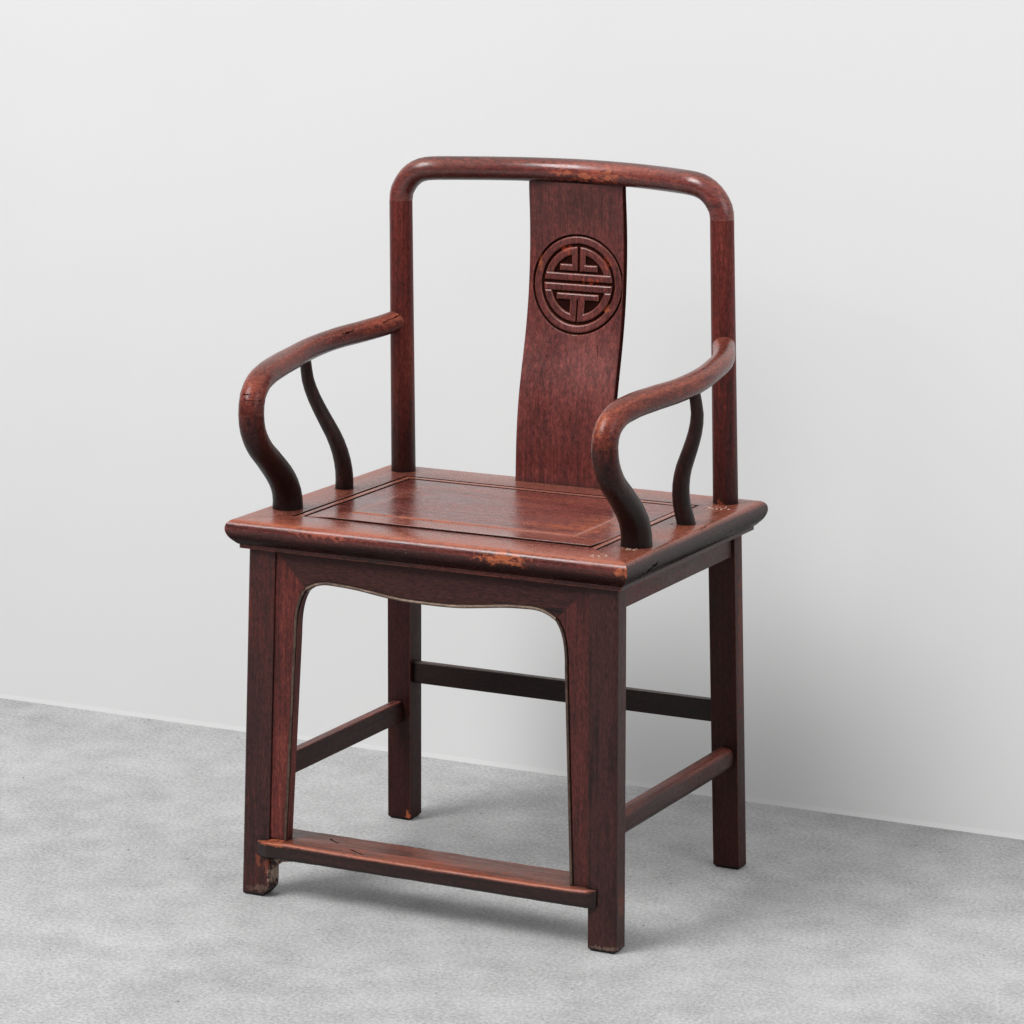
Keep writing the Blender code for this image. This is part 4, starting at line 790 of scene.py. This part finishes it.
def rail_section(width, thick, strip, dark, painted_shade_top):
    """Section of a frame member, once round: inset from its edge, depth under its top, rubbed lacquer and painted
    shade.
    """
    outer = []
    for out, down in MOULDING:
        rub = 1 - eased(abs(down - RUB_MIDDLE) / RUB_REACH)
        painted_shade = dark * eased((down - painted_shade_top) / (MOULD_DARK_BASE - painted_shade_top)) if down < MOULD_LIP else LIP_DARK
        outer.append((-out, down, float(rub), float(painted_shade)))
    outer.append((width, thick, 0.0, 0.0))
    # The inner edge by the panel's gap, and the strip's groove, get painted shade
    inner = [(width, 0.0012, 0.0, 0.9), (width - 0.0004, 0.0003, 0.3, 0.2)]
    if strip:
        mark, half = width - STRIP_WIDTH, STRIP_GROOVE / 2
        inner += [(width - 0.0018, 0.0, 1.0, 0.0), (mark + half + 0.0008, 0.0, 1.0, 0.0),
                  (mark + half, 0.0003, 0.2, 0.3), (mark + half * 0.6, 0.0010, 0.0, 0.9),
                  (mark + half * 0.4, STRIP_DEPTH, 0.0, 0.95), (mark - half * 0.6, STRIP_DEPTH, 0.0, 0.95),
                  (mark - half * 0.9, 0.0008, 0.0, 0.95), (mark - half, 0.0002, 0.0, 0.8),
                  (mark - half - 0.0005, 0.0, 0.2, 0.0), (mark - half - 0.0020, 0.0, 0.0, 0.0)]
    else:
        inner += [(width - 0.0018, 0.0, 0.0, 0.0)]
    return outer + inner


def make_frame_rails():
    half, front, back = seat_edges()
    left_in, front_in, right_in, back_in = panel_opening()
    low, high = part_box("seat_front_rail")
    top, thick = high.z, high.z - low.z
    widths = {"left": left_in + half, "right": half - right_in, "front": front_in - front, "back": back - back_in}
    members = (
        ("seat_front_rail", "front", "left", "right", lambda a, w: (a, front + w), (-half, half), ALONG_X, False),
        ("seat_back_rail", "back", "left", "right", lambda a, w: (a, back - w), (-half, half), ALONG_X, True),
        ("seat_side_rail_left", "left", "front", "back", lambda a, w: (-half + w, a), (front, back), ALONG_Y, True),
        ("seat_side_rail_right", "right", "front", "back", lambda a, w: (half - w, a), (front, back), ALONG_Y, True),
    )
    for node, own, first, last, place, (start, end), grain, strip in members:
        section = rail_section(widths[own], thick, strip, *RAIL_PAINTED_SHADES[own])
        rub_share = RAIL_RUBS[own]
        rings = []
        for share in np.linspace(0, 1, RAIL_STEPS):
            row = []
            for inset, down, _, _ in section:
                a = start + mitre(inset, widths[own], widths[first]) + MITRE_GAP
                b = end - mitre(inset, widths[own], widths[last]) - MITRE_GAP
                row.append((*place(a + (b - a) * share, inset), top - down))
            rings.append(row)
        mesh = solid_mesh(node + "_look", rings)
        add_layer(mesh, "rub", [rub * rub_share for _ in rings for _, _, rub, _ in section])
        add_layer(mesh, "sunk", [sunk for _ in rings for _, _, _, sunk in section])
        stand_for(node, mesh, grain)


def panel_height(inset):
    """Height of the panel's face over its edge, at an inset from its nearest side."""
    step = eased((inset - PANEL_MARGIN + 0.004) / 0.004)
    return PANEL_SLOPE * np.clip(inset / PANEL_MARGIN, 0, 1) + PANEL_STEP * step


def panel_lines(low, high):
    """Grid lines across the panel, close together where the margin steps up."""
    near = [0.0, 0.0006, 0.002, 0.008, 0.018, 0.030, 0.040, *np.linspace(PANEL_MARGIN - 0.0045, PANEL_MARGIN + 0.001, 9)]
    middle = np.linspace(low + PANEL_MARGIN + 0.006, high - PANEL_MARGIN - 0.006, int((high - low) / PANEL_CELL) - 8)
    return np.array([*(low + a for a in near), *middle, *(high - a for a in near[::-1])])


def make_panel():
    left, front, right, back = panel_opening()
    gap = PANEL_GAP
    xs, ys = panel_lines(left + gap, right - gap), panel_lines(front + PANEL_FRONT_GAP, back - gap)
    low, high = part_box("seat_panel")
    grid_x, grid_y = np.meshgrid(xs, ys, indexing="ij")
    inset = np.minimum.reduce([grid_x - xs[0], xs[-1] - grid_x, grid_y - ys[0], ys[-1] - grid_y])
    heights = high.z - PANEL_SLOPE - PANEL_STEP + panel_height(inset)
    lifted = np.clip(1 - (grid_y - ys[0]) / PANEL_MARGIN, 0, 1) * eased((grid_x - xs[0]) / PANEL_MARGIN)
    heights += PANEL_LIFT * lifted
    heights -= 0.0007 * (inset < 0.0003)
    shape = bmesh.new()
    top = [[shape.verts.new((x, y, heights[i, j])) for j, y in enumerate(ys)] for i, x in enumerate(xs)]
    for i in range(len(xs) - 1):
        for j in range(len(ys) - 1):
            shape.faces.new((top[i][j], top[i + 1][j], top[i + 1][j + 1], top[i][j + 1]))
    rim = [e for e in shape.edges if e.is_boundary]
    made = bmesh.ops.extrude_edge_only(shape, edges=rim)
    lower = [v for v in made["geom"] if isinstance(v, bmesh.types.BMVert)]
    for v in lower:
        v.co.z = low.z
    bmesh.ops.contextual_create(shape, geom=[e for e in shape.edges if e.is_boundary])
    bmesh.ops.recalc_face_normals(shape, faces=shape.faces)
    mesh = bpy.data.meshes.new("seat_panel_look")
    shape.to_mesh(mesh)
    shape.free()
    rub = PANEL_RUB * (1 - eased(np.abs(inset - PANEL_MARGIN + 0.0015) / PANEL_RUB_REACH)) + 0.3 * (inset < 0.002)
    rub = rub * (0.4 + 0.6 * eased(1 - (grid_y - ys[0]) / 0.10))
    rub = np.maximum(rub, PANEL_MARGIN_RUB * (grid_y - ys[0] < PANEL_MARGIN) * (inset > 0.002))
    rim = [0.0] * (len(mesh.vertices) - rub.size)
    add_layer(mesh, "rub", [*rub.ravel(), *rim])
    # Painted shade in the gap round the panel: its edges and sides turn dark
    add_layer(mesh, "sunk", [*(0.9 * (inset < 0.0003)).ravel(), *[0.9 for _ in rim]])
    stand_for("seat_panel", mesh, ALONG_X)


def edge_run(node, keep, order):
    """The node's front corners that a test keeps, in order."""
    found = {}
    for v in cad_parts[node].data.vertices:
        x, y, z = v.co
        if keep(x, z):
            key = (round(x, 4), round(z, 4))
            if key not in found or found[key].y > y:
                found[key] = v.co.copy()
    return sorted(found.values(), key=order)


def even_run(points, step):
    """Evenly spaced points along a line of points, eased over its corners."""
    points = np.array([tuple(p) for p in points])
    reach = np.concatenate([[0], np.cumsum(np.linalg.norm(np.diff(points, axis=0), axis=1))])
    count = max(int(reach[-1] / step), 3)
    even = np.linspace(0, reach[-1], count)
    run = np.stack([np.interp(even, reach, points[:, axis]) for axis in range(3)], axis=1)
    for _ in range(3):
        run[1:-1] = (run[:-2] + 2 * run[1:-1] + run[2:]) / 4
    return run


def bead(name, node, run, inwards, grain, finish):
    """A half-round bead along an edge, rising from the face of its board. Inwards turns the run into the board."""
    tangents = np.gradient(run, axis=0)
    rings = []
    for point, tangent in zip(run, tangents):
        tangent = Vector(tangent).normalized()
        ahead = Vector((0.0, -1.0, 0.0))
        ahead = (ahead - ahead.dot(tangent) * tangent).normalized()
        across = tangent.cross(ahead) * inwards
        rings.append([Vector(point) + across * a + ahead * f for a, f in BEAD_SECTION])
    mesh = solid_mesh(name, rings)
    # Painted shade at the bead's foot, where it meets its board
    add_layer(mesh, "sunk", [BEAD_SHADE * (height < BEAD_SHADE_RISE) for _ in rings for _, height in BEAD_SECTION])
    mesh.materials.append(wood(name, node, grain, finish, ("sunk",)))
    made = link_look(name, mesh)
    mesh.shade_smooth()
    mesh.set_sharp_from_angle(angle=SMOOTH_ANGLE)
    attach(made, "root")


def make_beads():
    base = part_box("front_apron")[0].z
    arch = edge_run("front_apron", lambda x, z: z < base + 0.014, lambda p: p.x)
    bead("arch_bead", "front_apron", even_run(arch, BEAD_STEP), -1, ALONG_X, ARCH_BEAD_HIGHLIGHT_FINISH)
    for word, side in (("left", -1), ("right", 1)):
        node = "front_spandrel_" + word
        low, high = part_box(node)
        outer = side * 0.2375
        inner = edge_run(node, lambda x, z: abs(x) < abs(outer) - 0.018 - 0.02 * (z > low.z + 0.3), lambda p: p.z)
        bead(node + "_bead", node, even_run(inner, BEAD_STEP), side, ALONG_Z, LEG_BEAD_FINISH)


def welded(node):
    """The node's solid as one closed mesh."""
    shape = bmesh.new()
    shape.from_mesh(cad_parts[node].data)
    bmesh.ops.remove_doubles(shape, verts=shape.verts, dist=WELD)
    return shape


def clip(shape, place, outwards):
    """Cuts off what lies beyond a plane and closes the cut."""
    everything = [*shape.verts, *shape.edges, *shape.faces]
    bmesh.ops.bisect_plane(shape, geom=everything, plane_co=place, plane_no=outwards, clear_outer=True)
    rim = [edge for edge in shape.edges if edge.is_boundary]
    if rim:
        bmesh.ops.contextual_create(shape, geom=rim)


def wear_foot(shape, node):
    """Wears down the lower edges of a leg, most of all the front left one's inner edge."""
    foot = [v.co for v in shape.verts if v.co.z < WELD]
    xs, ys = [p.x for p in foot], [p.y for p in foot]
    middle = Vector(((min(xs) + max(xs)) / 2, (min(ys) + max(ys)) / 2, 0.0))
    half_x, half_y = (max(xs) - min(xs)) / 2, (max(ys) - min(ys)) / 2
    for across, ahead in ((1, 0), (-1, 0), (0, 1), (0, -1)):
        worn = FOOT_CHIP if node == "front_leg_left" and across > 0 else FOOT_WEAR
        edge = middle + Vector((across * half_x, ahead * half_y, 0.0)) - Vector((across, ahead, 0.0)) * worn * 0.8
        clip(shape, edge, Vector((across, ahead, -0.8)).normalized())


def dress(node, grain, edge=EDGE_ROUND):
    """Stands for a CAD node: the same solid with softened edges and a wood of its own."""
    shape = welded(node)
    if node.startswith(("front_leg", "back_post")):
        wear_foot(shape, node)
    sliver = next((size for start, size in SLIVERS.items() if node.startswith(start)), WELD)
    bmesh.ops.dissolve_degenerate(shape, edges=shape.edges, dist=sliver)
    mesh = bpy.data.meshes.new(node + "_look")
    shape.to_mesh(mesh)
    shape.free()
    made = stand_for(node, mesh, grain, EDGE_ANGLE)
    soft = made.modifiers.new("softened_edges", "BEVEL")
    soft.width = edge
    soft.segments = 3
    soft.limit_method = "ANGLE"
    soft.angle_limit = EDGE_ANGLE
    made.modifiers.new("even_shading", "WEIGHTED_NORMAL")


def make_footrest():
    """The trodden footrest: lowered along its front, splintered at its left end and a little uneven."""
    shape = welded("footrest")
    rough = bpy.data.meshes.new("footrest_blank")
    shape.to_mesh(rough)
    shape.free()
    blank = link_look("footrest_blank", rough)
    cells = blank.modifiers.new("cells", "REMESH")
    cells.mode = "VOXEL"
    cells.voxel_size = TREAD_CELL
    mesh = bpy.data.meshes.new_from_object(blank.evaluated_get(bpy.context.evaluated_depsgraph_get()))
    bpy.data.objects.remove(blank)
    low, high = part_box("footrest")
    half = (high.x - low.x) / 2
    starts = [(v.co.copy(), v.normal.copy()) for v in mesh.vertices]
    rub = []
    for v, (start, normal) in zip(mesh.vertices, starts):
        x, y, z = start
        upper = min(max((z - high.z) / (high.z - low.z) * 2 + 1, 0.0), 1.0)
        middle = 1 - (abs(x) / half) ** 4
        near = max(1 - (y - low.y) / TREAD_REACH, 0.0)
        drop = TREAD_DROP * middle * near * near
        close = max(1 - (x - low.x) / SPLINTER_LENGTH, 0.0) * max(1 - (y - low.y) / SPLINTER_REACH, 0.0) ** 0.5
        torn = noise.noise(Vector((x * 45, y * 420, z * 420)))
        drop += SPLINTER_DROP * close * (0.75 + 0.5 * torn)
        uneven = 0.0004 * noise.noise(Vector((x * 35, y * 70, z * 70)))
        blunt = TREAD_BLUNT * max(1 - (high.x - x) / SPLINTER_REACH, 0.0)
        v.co = start + normal * uneven - Vector((blunt, 0, drop * upper))
        # Rubbed lacquer and a painted highlight along the front top arris
        arris = max(1 - (y - low.y) / TREAD_ARRIS, 0.0) * max(1 - (high.z - z) / TREAD_ARRIS, 0.0)
        rub.append(min(arris * 2.2, 1.0) * TREAD_RUB_AND_HIGHLIGHT)
    add_layer(mesh, "rub", rub)
    stand_for("footrest", mesh, ALONG_X, math.radians(75))


def make_crumbs(heap):
    """A few crumbs of old lacquer, scattered round a place on a node."""
    random = np.random.default_rng(sum(map(ord, heap.name)))
    middle = touch(heap.node, heap.pixel)
    solid = solid_of(heap.node)
    shape = bmesh.new()
    for _ in range(heap.count):
        across, ahead = random.normal(0.0, heap.reach / 2, 2)
        above = Vector((middle.x + across, middle.y + ahead, middle.z + heap.reach))
        seat = solid.ray_cast(above, Vector((0, 0, -1)))[0]
        if seat is None:
            continue
        size = CRUMB_SIZE * random.uniform(0.6, 1.6)
        lump = bmesh.ops.create_icosphere(shape, subdivisions=1, radius=size)["verts"]
        flat = Vector((random.uniform(0.8, 1.8), random.uniform(0.8, 1.4), 0.6))
        for v in lump:
            v.co = Vector([c * f * random.uniform(0.75, 1.25) for c, f in zip(v.co, flat)]) + seat
    mesh = bpy.data.meshes.new(heap.name)
    shape.to_mesh(mesh)
    shape.free()
    mesh.materials.append(wood(heap.name, heap.node, ALONG_X, CRUMB_FINISH))
    made = link_look(heap.name, mesh)
    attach(made, "root")


GRAINS = {
    "crest_rail": ALONG_X, "seat_front_rail": ALONG_X, "seat_back_rail": ALONG_X, "seat_panel": ALONG_X,
    "front_apron": ALONG_X, "back_apron": ALONG_X, "rear_stretcher": ALONG_X, "footrest": ALONG_X,
    "footrest_bracket": ALONG_X, "armrest_left": ALONG_Y, "armrest_right": ALONG_Y,
    "seat_side_rail_left": ALONG_Y, "seat_side_rail_right": ALONG_Y, "seat_batten_left": ALONG_Y,
    "seat_batten_right": ALONG_Y, "side_apron_left": ALONG_Y, "side_apron_right": ALONG_Y,
    "side_stretcher_left": ALONG_Y, "side_stretcher_right": ALONG_Y,
}


def main():
    bpy.context.scene.view_settings.view_transform = "Standard"
    make_camera()
    make_room()
    light_room()
    make_splat()
    make_frame_rails()
    make_panel()
    make_beads()
    make_footrest()
    for heap in CRUMBS:
        make_crumbs(heap)
    modelled = {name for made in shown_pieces() for name in made.get("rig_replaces", [])}
    for node in sorted(set(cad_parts) - modelled):
        dress(node, GRAINS.get(node, ALONG_Z))


main()
